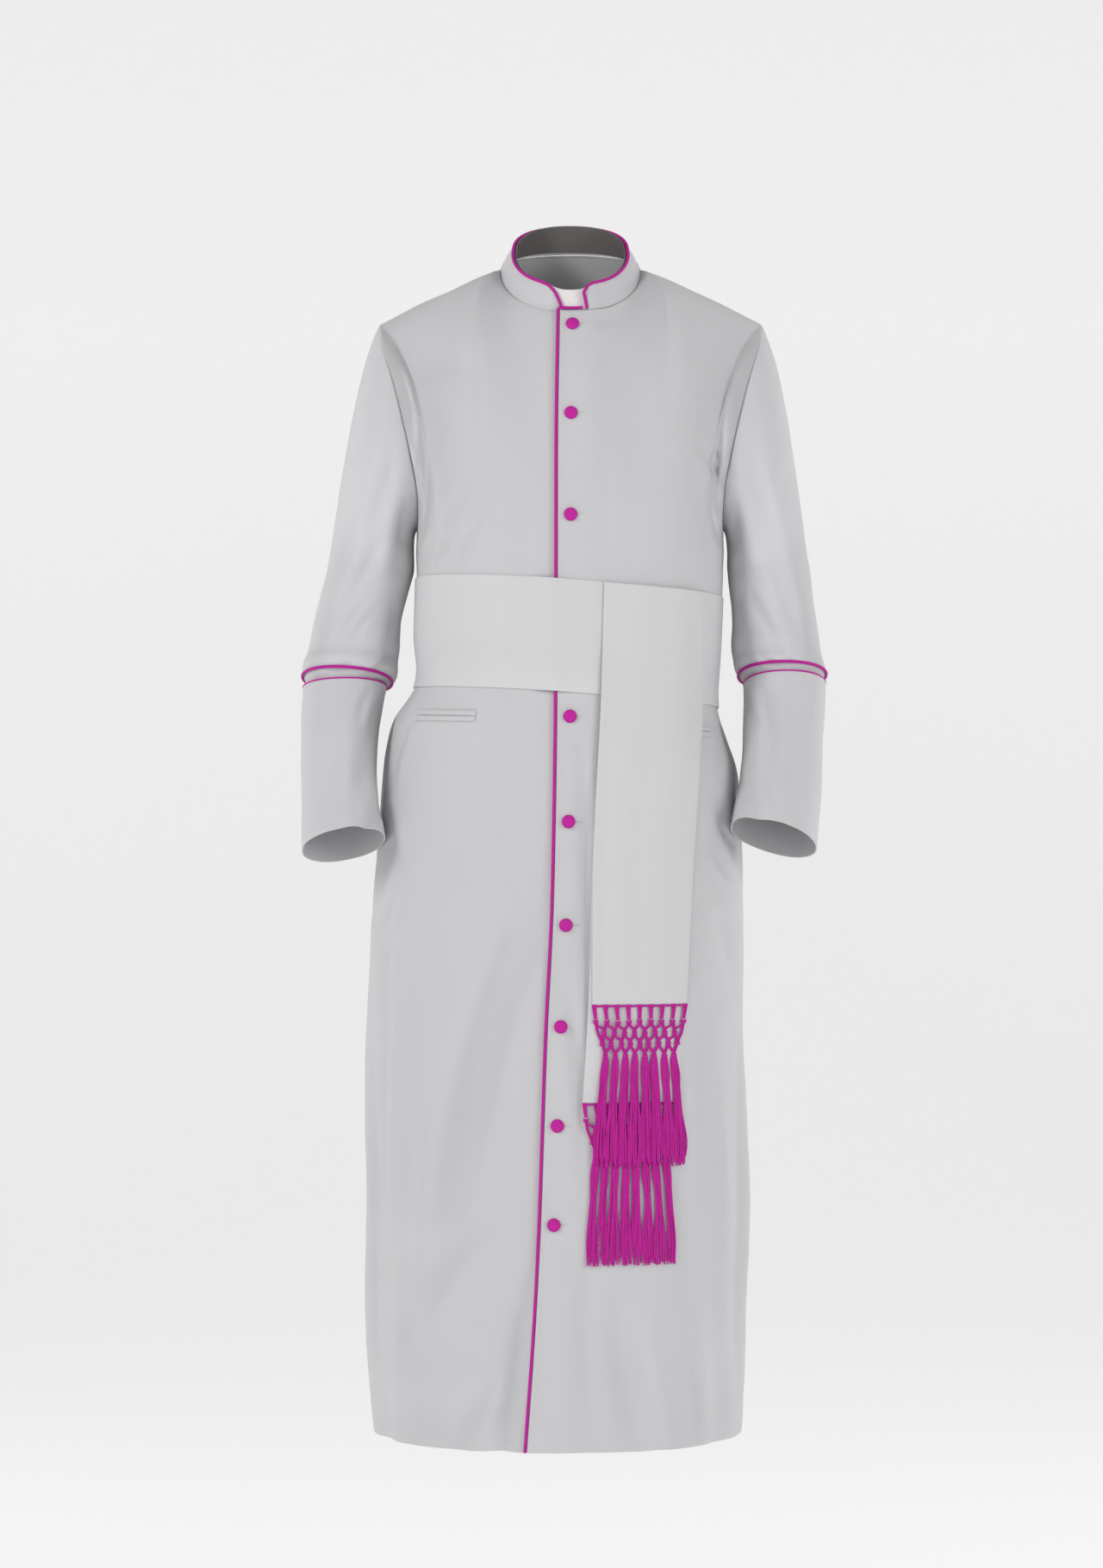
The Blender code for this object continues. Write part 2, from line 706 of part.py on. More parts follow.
def arm_ring(table, side, height, angle, grow=0.0):
    """A point of a sleeve's or cuff's ring: angle 0 outside, 90 front, 180 inside."""
    across, forward, half_width, half_depth, outer_lift, front_lift = table(height)
    sine = sin(radians(angle))
    cosine = cos(radians(angle))
    radius = superellipse(cosine, sine, half_width + grow, half_depth + grow, SLEEVE_SQUARENESS)
    x = across + radius * cosine
    y = forward - radius * sine
    z = height + outer_lift * radius * cosine / half_width + front_lift * radius * sine / half_depth
    return np.array([side * x, y, z])


def armhole_station(side, angle):
    """Station of the body's top edge where the sleeve's angle meets it."""
    reach = TIP_STATION + (90.0 - TIP_STATION) * (1 - abs(180.0 - angle) / 180.0)
    station = reach if angle <= 180.0 else 180.0 - reach
    return station * side


cap_leaving = Smooth(CAP_LEAVING)


def armhole_corner(side, angle):
    """Where one of the body's columns meets the sleeve: point, way out and normal."""
    ahead, _ = top_edge(armhole_station(side, (angle + 1.0) % 360.0))
    behind, _ = top_edge(armhole_station(side, (angle - 1.0) % 360.0))
    station = armhole_station(side, angle)
    point, _ = top_edge(station)
    along = unit(ahead - behind)
    outward = np.array(UNDER_ARM_WAY) * (side, 1, 1)
    body_out = edge_normal(station, 2.0)
    in_surface = np.cross(along, body_out)
    if in_surface[0] * side < 0:
        in_surface = -in_surface
    share = ease((abs(180.0 - angle) - 15.0) / 55.0)
    way = unit(in_surface * share + outward * (1 - share))
    way = unit(way - along * np.dot(way, along))
    return point, way, unit(np.cross(along, way)) * side


def armhole_frame(side, angle):
    """The sleeve's start at any angle, on the straight edges between those corners."""
    step = 180.0 / ARMHOLE_STEPS
    before = int(angle // step) * step
    share = (angle - before) / step
    near = armhole_corner(side, before % 360.0)
    far = armhole_corner(side, (before + step) % 360.0)
    point, way, normal = [start * (1 - share) + end * share for start, end in zip(near, far)]
    return point, unit(way), unit(normal)


def sleeve_point(table, side, angle, share, top):
    """A point of the sleeve's cap, from the armhole to its first full ring."""
    point, way, _ = armhole_frame(side, angle)
    start = point + way * SEAM_GAP
    end = arm_ring(table, side, top, angle)
    pull = cap_leaving(angle) * (side, 1, 1)
    reach = np.linalg.norm(end - start)
    arm = unit(np.array(ARM_DIRECTION)) * (side, 1, 1)
    return hermite(start, pull, end, arm * reach, share)


def make_sleeve(name, rows, side):
    table = Smooth(rows)
    top = rows[0][0]
    heights = [row[0] for row in rows[1:]]
    angles = [index * 360.0 / SLEEVE_COLUMNS for index in range(SLEEVE_COLUMNS)]
    turn = 360.0 / SLEEVE_COLUMNS / 2

    def surface(angle, row):
        if row < len(CAP_ROWS):
            return sleeve_point(table, side, angle % 360.0, CAP_ROWS[row], top)
        return arm_ring(table, side, heights[row - len(CAP_ROWS)], angle)

    total = len(CAP_ROWS) + len(heights)
    outer = []
    inner = []
    for row in range(total):
        outer_row = []
        inner_row = []
        for angle in angles:
            point = surface(angle, row)
            if row == 0:
                _, _, normal = armhole_frame(side, angle)
            else:
                around = surface(angle + turn, row) - surface(angle - turn, row)
                below = surface(angle, min(row + 1, total - 1)) - surface(angle, row - 1)
                normal = unit(np.cross(around, below)) * side
            outer_row.append(point)
            inner_row.append(point - normal * WALL)
        outer.append(outer_row)
        inner.append(inner_row)
    cloth_wall(name, outer, inner, WHITE, closed=True)


def make_cuff(name, rows, side):
    table = Smooth(rows)
    heights = np.linspace(rows[0][0], rows[-1][0], CUFF_ROWS)
    angles = [index * 360.0 / SLEEVE_COLUMNS for index in range(SLEEVE_COLUMNS)]
    outer = [[arm_ring(table, side, height, angle) for angle in angles] for height in heights]
    inner = [[arm_ring(table, side, height, angle, -WALL) for angle in angles]
             for height in heights]
    cloth_wall(name, outer, inner, WHITE, closed=True)


def collar_top(turn):
    return neck_point(turn, COLLAR_TOP_SIDE, COLLAR_TOP_FRONT, COLLAR_TOP_BACK,
                      COLLAR_TOP_MIDDLE, COLLAR_TOP_HEIGHT, COLLAR_TOP_SLOPE_FRONT,
                      COLLAR_TOP_SLOPE_BACK)


def neck_turns(stations):
    """Turns round the neck of stations of the top edge."""
    turns = []
    for station in stations:
        from_centre = station if abs(station) < 90.0 else station - 180.0
        turn = slowed(abs(from_centre)) * 90.0 / NECK_STATION
        turn = -turn if from_centre < 0 else turn
        turns.append(turn if abs(station) < 90.0 else 180.0 + turn)
    return turns


def neck_edges():
    """Straight edges of the neckline by turn: as lapped, and without the lap's lift."""
    left = [station for station in left_front_columns(2.0) if station <= NECK_STATION]
    right = [station for station in right_front_columns(2.0) if station >= -NECK_STATION]
    back = [station for station in back_columns(2.0) if abs(station - 180.0) <= NECK_STATION]
    back_turns = neck_turns(back)
    back_points = [top_edge(station)[0] for station in back]
    left_end = edge_at(neck_point(0)[2])
    lapped = [(turn, lapped_point(station, 2.0)[0])
              for turn, station in zip(neck_turns(left), left)]
    lapped += list(zip(back_turns, back_points))[1:]
    under = [(turn + 360.0, top_edge(station)[0]) for turn, station
             in zip(neck_turns(right), right)]
    lapped += under[1:]
    plain = [(turn - 360.0, point) for turn, point in under]
    plain += [(turn, top_edge(station)[0]) for turn, station in zip(neck_turns(left), left)
              if top_edge(station)[0][0] > left_end + LAP]
    plain += list(zip(back_turns, back_points))[1:] + under[1:]
    return lapped, plain


LAPPED_NECK, PLAIN_NECK = neck_edges()


def on_edges(edges, turn):
    """Point at a turn on a run of straight edges."""
    keys = [entry[0] for entry in edges]
    return np.array([np.interp(turn, keys, [entry[1][axis] for entry in edges])
                     for axis in range(3)])


def collar_point(turn, share, inwards=0.0, lapped=True):
    """A point of the collar: share 0 on the neckline, 1 at the full height."""
    smooth_foot = neck_point(turn)
    foot = on_edges(LAPPED_NECK if lapped else PLAIN_NECK, turn)
    rise = collar_top(turn) - smooth_foot
    along = neck_point(turn + 1.0) - neck_point(turn - 1.0)
    normal = unit(np.cross(along, rise))
    return foot + rise * share - normal * inwards, normal


def neck_turn_at(x):
    """Turn of the neckline's front where it has a given x."""
    return degrees(np.sign(x) * np.arcsin((abs(x) / NECK_SIDE) ** (NECK_SQUARENESS / 2)))


left_shape = Smooth(COLLAR_LEFT_SHAPE)
right_shape = Smooth(COLLAR_RIGHT_SHAPE)


def collar_height_share(turn):
    """Share of the full height that the collar has at a turn from 0 to 360."""
    x = neck_point(turn)[0]
    if turn < 90:
        return float(left_shape(x - COLLAR_LEFT_END)[0])
    if turn > 270:
        return float(right_shape(COLLAR_RIGHT_END - x)[0])
    return 1.0


def collar_turns():
    """Turns of the collar's columns, closer together at its shaped ends."""
    left = [neck_turn_at(COLLAR_LEFT_END + step) for step, _ in COLLAR_LEFT_SHAPE]
    right = [360.0 + neck_turn_at(COLLAR_RIGHT_END - step)
             for step, _ in reversed(COLLAR_RIGHT_SHAPE)]
    middle = [turn for turn, _ in LAPPED_NECK
              if left[-1] + COLLAR_CLEAR_TURN < turn < right[0] - COLLAR_CLEAR_TURN]
    return left + middle + right


def make_collar():
    turns = collar_turns()
    outer = []
    inner = []
    for row in (0.0, 0.5, 1.0):
        outer_row = []
        inner_row = []
        for turn in turns:
            share = row * collar_height_share(turn)
            point, normal = collar_point(turn, share)
            point = point + np.array([0, 0, SEAM_GAP])
            outer_row.append(point)
            inner_row.append(point - normal * WALL)
        outer.append(outer_row)
        inner.append(inner_row)
    cloth_wall("collar", outer, inner, WHITE)


def make_collar_band():
    start = neck_turn_at(TAB_HALF_WIDTH) + BAND_FROM_TAB
    turns = [start] + [turn for turn, _ in PLAIN_NECK
                       if start + BAND_CLEAR_TURN < turn < 360.0 - BAND_CLEAR_TURN - start]
    turns.append(360.0 - start)
    shares = (BAND_FOOT, 0.6, BAND_RISE)
    outer = [[collar_point(turn, share, BAND_DEPTH, False)[0] for turn in turns]
             for share in shares]
    inner = [[collar_point(turn, share, BAND_DEPTH + THIN_WALL, False)[0] for turn in turns]
             for share in shares]
    cloth_wall("collar_band", outer, inner, GREY)


def make_collar_tab():
    end = neck_turn_at(TAB_HALF_WIDTH)
    turns = np.linspace(-end, end, TAB_COLUMNS)
    outer = []
    inner = []
    for row in (0.0, 0.5, 1.0):
        outer_row = []
        inner_row = []
        for turn in turns:
            off_centre = (turn / end) ** 2
            top = TAB_TOP_MIDDLE + (TAB_TOP_ENDS - TAB_TOP_MIDDLE) * off_centre
            foot = TAB_FOOT + (BAND_FOOT - TAB_FOOT) * off_centre
            share = foot + (top - foot) * row
            outer_row.append(collar_point(turn, share, BAND_DEPTH, False)[0])
            inner_row.append(collar_point(turn, share, BAND_DEPTH + THIN_WALL, False)[0])
        outer.append(outer_row)
        inner.append(inner_row)
    cloth_wall("collar_tab", outer, inner, TAB_WHITE)


def tube(name, points, radius, closed=False):
    """A cord of piping through points."""
    curve = bpy.data.curves.new(name, "CURVE")
    curve.dimensions = "3D"
    curve.bevel_depth = radius
    curve.bevel_resolution = 1
    curve.use_fill_caps = not closed
    spline = curve.splines.new("POLY")
    spline.points.add(len(points) - 1)
    for entry, point in zip(spline.points, points):
        entry.co = (*[float(value) for value in point], 1)
    spline.use_cyclic_u = closed
    return place_object(name, curve, MAGENTA, 0.6)


def make_front_piping():
    """Up the lapping edge, round the corner and along the notch to the collar's end."""
    points = []
    levels = [level_of(height) for height in SKIRT_ROWS] + YOKE_LEVELS[:-1] + [PIPING_TOP_LEVEL]
    for level in levels:
        station = edge_station(level, -PIPING_FROM_EDGE)
        normal = body_normal(station, level)
        points.append(body_point(station, level) + normal * PIPING_FROM_EDGE)
    points.append(points[-1] + unit(points[-1] - points[-2]) * PIPING_BEND)
    start = COLLAR_RIGHT_END + NOTCH_PIPING_START
    end = COLLAR_LEFT_END - NOTCH_PIPING_SHORT
    for x in np.linspace(start, end, NOTCH_PIPING_POINTS):
        foot, normal = collar_point(neck_turn_at(x), 0.0)
        head, _ = collar_point(neck_turn_at(x), 1.0)
        up = unit(head - foot)
        points.append(foot - normal * (WALL / 2) + up * PIPING_BEND)
    tube("front_piping", points, PIPING)


def make_collar_piping():
    """Along the collar's ends and top edge."""
    points = []
    for turn in collar_turns():
        share = collar_height_share(turn)
        point, normal = collar_point(turn, share)
        up = unit(collar_point(turn, 1.0)[0] - collar_point(turn, 0.0)[0])
        points.append([point, normal, up])
    centres = [entry[0] - entry[1] * COLLAR_PIPING_DEPTH + np.array([0, 0, SEAM_GAP])
               for entry in points]
    route = []
    for index, (centre, entry) in enumerate(zip(centres, points)):
        before = centres[max(index - 1, 0)]
        after = centres[min(index + 1, len(centres) - 1)]
        along = unit(after - before)
        away = np.cross(along, entry[1])
        if np.dot(away, entry[2]) < 0:
            away = -away
        route.append(centre + unit(away) * (PIPING + SEAM_GAP))
    route[-1] = route[-2] + (route[-1] - route[-2]) * COLLAR_PIPING_LAST
    first_foot, _ = collar_point(collar_turns()[0], 0.0, COLLAR_PIPING_DEPTH)
    end_step = np.array([-(PIPING + SEAM_GAP), 0, 0])
    start = first_foot + end_step + np.array([0, 0, PIPING])
    middle = route[0] + end_step * COLLAR_PIPING_START - np.array([0, 0, PIPING])
    tube("collar_piping", [start, middle] + route[1:], PIPING)


def make_arm_piping(name, rows, side, height, radius, lift):
    """A ring of piping that lies round a sleeve or on the top edge of a cuff."""
    table = Smooth(rows)
    angles = [index * 360.0 / SLEEVE_COLUMNS for index in range(SLEEVE_COLUMNS)]
    points = [arm_ring(table, side, height, angle, lift) for angle in angles]
    tube(name, points, radius, closed=True)


def make_button(name, x, height):
    """A covered button: a domed cap, turned, with its axis out of the cloth."""
    profile = [
        # radius, height above the cloth
        (0.0, BUTTON_THICKNESS),
        (BUTTON_RADIUS * 0.55, BUTTON_THICKNESS * 0.86),
        (BUTTON_RADIUS * 0.90, BUTTON_THICKNESS * 0.52),
        (BUTTON_RADIUS, BUTTON_THICKNESS * 0.22),
        (BUTTON_RADIUS * 0.80, 0.0),
        (0.0, 0.0),
    ]
    mesh = bpy.data.meshes.new(name)
    edges = [(index, index + 1) for index in range(len(profile) - 1)]
    mesh.from_pydata([(radius, 0, rise) for radius, rise in profile], edges, [])
    button = place_object(name, mesh, MAGENTA, 0.6)
    turned = button.modifiers.new("turned", "SCREW")
    turned.steps = BUTTON_STEPS
    turned.render_steps = BUTTON_STEPS
    turned.use_merge_vertices = True
    turned.merge_threshold = 0.0001
    level = level_of(height)
    if height > CHEST:
        level = level_at_height(height)
    station = station_at(x, level)
    point, normal = lapped_point(station, level, BUTTON_GAP)
    button.location = point
    button.rotation_euler = Vector(normal).to_track_quat("Z", "Y").to_euler()


def level_at_height(height):
    """Level above the chest ring where the centre front has a given height."""
    low, high = 1.0, 2.0
    for _ in range(30):
        middle = (low + high) / 2
        if body_point(0.0, middle)[2] < height:
            low = middle
        else:
            high = middle
    return (low + high) / 2


def make_buttons():
    for number, height in enumerate(BUTTON_HEIGHTS, start=1):
        make_button(f"button_{number}", edge_at(height) + BUTTON_FROM_EDGE, height)


def sash_lift(station, level):
    """Gap between the body and the inside of the sash, with room for lap and piping."""
    point = body_point(station, level)
    from_edge = point[0] - edge_at(point[2])
    if abs(station) > 90:
        return SASH_GAP
    if from_edge >= -PIPING_REACH:
        lap = lap_lift(point[0], point[2]) + SASH_GAP
        return max(lap, SASH_CLEAR_OF_PIPING - SASH_SLOPE * max(from_edge, 0.0))
    share = ease(1 + (from_edge + PIPING_REACH) / SASH_EASE_REACH)
    return SASH_GAP + (SASH_CLEAR_OF_PIPING - SASH_GAP) * share


def sash_columns(level):
    left = left_front_columns(level, 0.0)
    right = right_front_columns(level, 0.0)[:SASH_COLUMNS_BESIDE_LAP]
    back = back_columns(level, 0.0)[1:-1]
    beside = edge_station(level, -PIPING_REACH)
    return left + back + [station + 360.0 for station in right + [beside]]


def make_sash_band():
    outer = []
    inner = []
    for height in (SASH_BOTTOM, SASH_MIDDLE, SASH_TOP):
        level = level_of(height)
        outer_row = []
        inner_row = []
        for station in sash_columns(level):
            turned = station if station <= 180.0 else station - 360.0
            point = body_point(turned, level)
            normal = body_normal(turned, level)
            lift = sash_lift(turned, level)
            inner_row.append(point + normal * lift)
            outer_row.append(point + normal * (lift + THIN_WALL))
        outer.append(outer_row)
        inner.append(inner_row)
    cloth_wall("sash_band", outer, inner, WHITE, closed=True)


def tail_row(edges, height, lift):
    """Points and normals of a row of a tail between its two edges."""
    level = level_of(height)
    start, end = edges(height)
    first = station_at(start, level)
    last = station_at(end, level)
    row = []
    for station in np.linspace(first, last, TAIL_COLUMNS):
        point, normal = lapped_point(station, level)
        row.append((point + normal * lift, normal))
    return row


def make_tail(name, rows, heights, lifts):
    edges = Smooth(rows)
    lift_at = Smooth(lifts)
    outer = []
    inner = []
    for height in heights:
        row = tail_row(edges, height, float(lift_at(height)[0]))
        inner.append([point for point, _ in row])
        outer.append([point + normal * THIN_WALL for point, normal in row])
    cloth_wall(name, outer, inner, WHITE)


def make_tails():
    front_heights = [FRONT_TAIL_FOOT] + [height for height in reversed(TAIL_ROWS)
                                         if height > FRONT_TAIL_FOOT + 0.01] + [SASH_TOP]
    make_tail("sash_tail_front", FRONT_TAIL_EDGES, front_heights, FRONT_TAIL_LIFT)
    rear_heights = [REAR_TAIL_FOOT] + [height for height in reversed(TAIL_ROWS)
                                       if REAR_TAIL_FOOT + 0.01 < height < SASH_BOTTOM]
    make_tail("sash_tail_rear", REAR_TAIL_EDGES, rear_heights + [REAR_TAIL_TOP],
              REAR_TAIL_LIFT)


class Net:
    """A flat net of joined faces, in millimetres across, down and out of its plane."""

    def __init__(self):
        self.points = []
        self.faces = []

    def point(self, across, down, out=0.0):
        self.points.append((across, down, out))
        return len(self.points) - 1

    def knot(self, across, down):
        """A knot, with three points along its top and three along its foot."""
        steps = (-KNOT_HALF_WIDTH, 0.0, KNOT_HALF_WIDTH)
        top = [self.point(across + step, down - KNOT_HALF_HEIGHT) for step in steps]
        foot = [self.point(across + step, down + KNOT_HALF_HEIGHT) for step in steps]
        self.strip(top[:2], foot[:2])
        self.strip(top[1:], foot[1:])
        return top, foot

    def strip(self, start, end):
        """A face between two pairs of points, each from left to right."""
        self.faces.append((start[0], end[0], end[1], start[1]))

    def thick_solid(self, name, place):
        """Give the net its thickness; place puts a point, front or rear, in space."""
        count = len(self.points)
        points = [place(*point, True) for point in self.points]
        points += [place(*point, False) for point in self.points]
        faces = list(self.faces)
        faces += [tuple(index + count for index in reversed(face)) for face in self.faces]
        sides = {}
        for face in self.faces:
            for a, b in zip(face, face[1:] + face[:1]):
                sides[(a, b)] = True
        for a, b in sides:
            if (b, a) not in sides:
                faces.append((b, a, a + count, b + count))
        return mesh_object(name, points, faces, MAGENTA)


def fringe_net(width, seed, spread):
    """Backing strip, legs, three rows of open diamonds and the hanging strands."""
    net = Net()
    random = np.random.default_rng(seed)
    first_down, first_count, _ = KNOT_ROWS[0]
    pitch = (width - 2 * KNOT_HALF_WIDTH) / (first_count - 1)
    starts = [KNOT_HALF_WIDTH + index * pitch - width / 2 for index in range(first_count)]
    top = []
    foot = []
    for start in starts:
        for step in (-LEG_HALF_WIDTH, LEG_HALF_WIDTH):
            top.append(net.point(start + step, 0.0))
            foot.append(net.point(start + step, FRINGE_BACKING))
    for index in range(len(top) - 1):
        net.strip(top[index:index + 2], foot[index:index + 2])
    rows = []
    for down, count, share in KNOT_ROWS:
        middle = (count - 1) / 2
        rows.append([net.knot((index - middle) * pitch * share, down) for index in range(count)])
    for index, (knot_top, _) in enumerate(rows[0]):
        leg = foot[2 * index:2 * index + 2]
        centre = net.points[knot_top[1]][0]
        waist = [net.point(centre + step, first_down - LEG_ABOVE_KNOT)
                 for step in (-LEG_HALF_WIDTH, LEG_HALF_WIDTH)]
        net.strip(leg, waist)
        net.faces.append((waist[0], *knot_top, waist[1]))
    for upper, lower in zip(rows, rows[1:]):
        outset = len(lower) > len(upper)
        for index, (_, knot_foot) in enumerate(upper):
            left = index if outset else index - 1
            right = left + 1
            if left >= 0:
                net.strip(knot_foot[:2], lower[left][0][1:])
            if right < len(lower):
                net.strip(knot_foot[1:], lower[right][0][:2])
    upper, lower = rows[0], rows[2]
    net.strip(upper[0][1][:2], lower[0][0][:2])
    net.strip(upper[-1][1][1:], lower[-1][0][1:])
    last_down = KNOT_ROWS[-1][0]
    bundle = pitch * spread
    for _, knot_foot in rows[-1]:
        centre = net.points[knot_foot[1]][0]
        low_centre = centre / KNOT_ROWS[-1][2] * NET_SPREAD
        head_width = 2 * KNOT_HALF_WIDTH * BUNDLE_HEAD_SPREAD
        seam = [net.point(centre + (index / (2 * STRANDS_EACH - 1) - 0.5) * head_width,
                          last_down + KNOT_HALF_HEIGHT + BUNDLE_HEAD)
                for index in range(2 * STRANDS_EACH)]
        net.faces.append((knot_foot[2], knot_foot[1], knot_foot[0], *seam))
        for strand in range(STRANDS_EACH):
            place = (strand + 0.5) / STRANDS_EACH - 0.5
            pair = seam[2 * strand:2 * strand + 2]
            length = FRINGE_LENGTH * (1 - STRAND_UNEVENNESS * random.random())
            sway = STRAND_SWAY * (random.random() - 0.5)
            out = STRAND_STAGGER * (strand % 2)
            half = STRAND_WIDTH / 2
            low = low_centre + place * bundle + sway
            net.strip(pair, [net.point(low - half, length, out), net.point(low + half, length, out)])
    return net


def make_fringe(name, edges_table, top, lift, seed, spread):
    """A fringe that hangs from a tail's foot, on the form of the skirt under it."""
    edges = Smooth(edges_table)
    start, end = edges(top)
    middle = (start + end) / 2
    top_level = level_of(top)
    first = body_point(station_at(start, top_level), top_level)
    last = body_point(station_at(end, top_level), top_level)
    length = np.linalg.norm(last - first)
    squeeze = (end - start) / length
    net = fringe_net(length * 1000, seed, spread)

    def place(across, down, out, front):
        height = top - SEAM_GAP - down / 1000
        level = level_of(height)
        station = station_at(middle + across / 1000 * squeeze, level)
        extra = lift + out / 1000 + (FRINGE_WALL if front else 0.0)
        return lapped_point(station, level, extra)[0]

    net.thick_solid(name, place)


def make_fringes():
    for row in FRINGES:
        make_fringe(*row)


def make_pockets():
    """Two lips round a slit on each front."""
    for side_name, side in (("left", 1.0), ("right", -1.0)):
        for lip_name, shift in (("upper", 0.5), ("lower", -0.5)):
            outer = []
            inner = []
            for edge in (-0.5, 0.5):
                height = POCKET_HEIGHT + shift * (LIP + SEAM_GAP) + edge * LIP
                level = level_of(height)
                outer_row = []
                inner_row = []
                for station in np.linspace(*POCKET_STATIONS, POCKET_COLUMNS):
                    point, normal = lapped_point(side * station, level, LIP_LIFT)
                    inner_row.append(point)
                    outer_row.append(point + normal * LIP_WALL)
                outer.append(outer_row)
                inner.append(inner_row)
            cloth_wall(f"pocket_{side_name}_{lip_name}", outer, inner, WHITE)


def clear_scene():
    for item in list(bpy.data.objects):
        bpy.data.objects.remove(item, do_unlink=True)


def main():
    clear_scene()
    collection = bpy.data.collections.new(COLLECTION)
    bpy.context.scene.collection.children.link(collection)
    make_body()
    for name, side, sleeve, cuff in (("left", 1.0, LEFT_SLEEVE, LEFT_CUFF),
                                     ("right", -1.0, RIGHT_SLEEVE, RIGHT_CUFF)):
        make_sleeve(f"sleeve_{name}", sleeve, side)
        make_cuff(f"cuff_{name}", cuff, side)
        make_arm_piping(f"sleeve_piping_{name}", sleeve, side, SLEEVE_PIPING_HEIGHTS[name],
                        PIPING, PIPING_FROM_EDGE)
        make_arm_piping(f"cuff_piping_{name}", cuff, side, cuff[0][0] + CUFF_PIPING_RISE,
                        FINE_PIPING, -WALL / 2)
    make_collar()
    make_collar_band()
    make_collar_tab()
    make_front_piping()
    make_collar_piping()
    make_buttons()
    make_sash_band()
    make_tails()
    make_fringes()
    make_pockets()


main()
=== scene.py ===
"""The looks of a buttoned clergy robe with its tasselled sash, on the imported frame.

Metres, +Z up, the front faces -Y. Places on the body of the robe have two numbers: the
station is the angle round the body in degrees, 0 at the centre front and 90 at +X, and
the level is 0 at the hem, 1 at the chest ring and 2 at the top edge.
"""
import json
from math import pi

import bpy
import numpy as np
from mathutils import Matrix, Vector

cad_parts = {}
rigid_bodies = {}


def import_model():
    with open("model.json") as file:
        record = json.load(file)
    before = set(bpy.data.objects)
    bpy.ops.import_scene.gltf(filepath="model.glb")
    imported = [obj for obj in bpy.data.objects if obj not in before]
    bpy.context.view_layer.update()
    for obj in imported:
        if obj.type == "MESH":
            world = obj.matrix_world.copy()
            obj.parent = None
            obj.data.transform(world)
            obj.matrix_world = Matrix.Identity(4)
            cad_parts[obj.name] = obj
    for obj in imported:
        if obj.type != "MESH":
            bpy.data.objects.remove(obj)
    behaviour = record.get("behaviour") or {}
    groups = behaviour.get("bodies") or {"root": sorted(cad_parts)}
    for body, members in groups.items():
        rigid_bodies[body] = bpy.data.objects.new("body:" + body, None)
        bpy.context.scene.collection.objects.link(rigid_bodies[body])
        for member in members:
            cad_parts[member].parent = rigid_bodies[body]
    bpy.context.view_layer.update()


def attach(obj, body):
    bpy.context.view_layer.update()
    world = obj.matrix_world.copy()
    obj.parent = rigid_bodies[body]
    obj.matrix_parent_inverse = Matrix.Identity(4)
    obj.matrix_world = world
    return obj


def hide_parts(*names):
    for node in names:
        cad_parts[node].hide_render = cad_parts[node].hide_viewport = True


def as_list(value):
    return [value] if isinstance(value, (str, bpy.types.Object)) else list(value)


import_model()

# Cloth
THIN_WALL = 0.0015
SEAM_GAP = 0.0003
LAP = 0.0365
LAP_LIFT = 0.0027
LAP_FADE = 0.026

# Body: height of the rings, how far each follows the sash's tilt, half widths to -X
# and +X, depths to the front and back, and squareness of the outline
HEM = -1.405
CHEST = -0.345
BODY_RINGS = [
    # height, tilt, left, right, front, back, squareness
    (HEM, 0.0, 0.2385, 0.2065, 0.200, 0.262, 2.30),
    (-1.330, 0.0, 0.2465, 0.2105, 0.197, 0.252, 2.30),
    (-1.250, 0.0, 0.2500, 0.2120, 0.193, 0.241, 2.30),
    (-1.120, 0.0, 0.2475, 0.2165, 0.187, 0.223, 2.30),
    (-1.030, 0.0, 0.2492, 0.2140, 0.181, 0.212, 2.30),
    (-0.930, 0.0, 0.2490, 0.2098, 0.175, 0.200, 2.35),
    (-0.780, 0.0, 0.2400, 0.2086, 0.167, 0.180, 2.35),
    (-0.660, 0.3, 0.2310, 0.2040, 0.160, 0.158, 2.35),
    (-0.592, 0.7, 0.2240, 0.1985, 0.157, 0.142, 2.40),
    (-0.560, 0.9, 0.2160, 0.1880, 0.155, 0.132, 2.40),
    (-0.520, 1.0, 0.1895, 0.1785, 0.152, 0.114, 2.45),
    (-0.4535, 1.0, 0.1885, 0.1805, 0.149, 0.106, 2.50),
    (-0.3865, 1.0, 0.1865, 0.1840, 0.147, 0.111, 2.50),
    (CHEST, 0.0, 0.1870, 0.1870, 0.146, 0.120, 2.50),
]
SASH_TOP = -0.3865
SASH_MIDDLE = -0.4535
SASH_BOTTOM = -0.520
TILT_ACROSS = -0.012
TILT_FORWARD = 0.0045

# Neckline: half width, depths, squareness, height at the sides and slope fore and aft
NECK_SIDE = 0.0845
NECK_FRONT = 0.090
NECK_BACK = 0.066
NECK_SQUARENESS = 2.3
NECK_HEIGHT = 0.0047
NECK_SLOPE_FRONT = 0.702
NECK_SLOPE_BACK = 0.36
NECK_BEND = 0.020
NECK_STATION = 32.0
TIP_STATION = 60.0
SIDE_INSET = 0.045
CORNER_SLOWING = 0.7
SHOULDER_SEAM = [
    # station, across, forward or back, height
    (NECK_STATION, NECK_SIDE, 0.000, 0.0010),
    (42.0, 0.1350, 0.002, -0.0190),
    (52.0, 0.1900, 0.003, -0.0425),
    (TIP_STATION, 0.2326, 0.002, -0.0640),
]
ARMHOLE_FRONT = [
    # station, across, forward or back, height
    (TIP_STATION, 0.2326, 0.002, -0.0640),
    (63.0, 0.2270, -0.030, -0.0950),
    (66.0, 0.2142, -0.053, -0.1380),
    (69.5, 0.1987, -0.068, -0.2000),
    (74.0, 0.1870, -0.063, -0.2580),
    (81.0, 0.1845, -0.036, -0.3000),
    (90.0, 0.1865, -0.002, -0.3180),
]
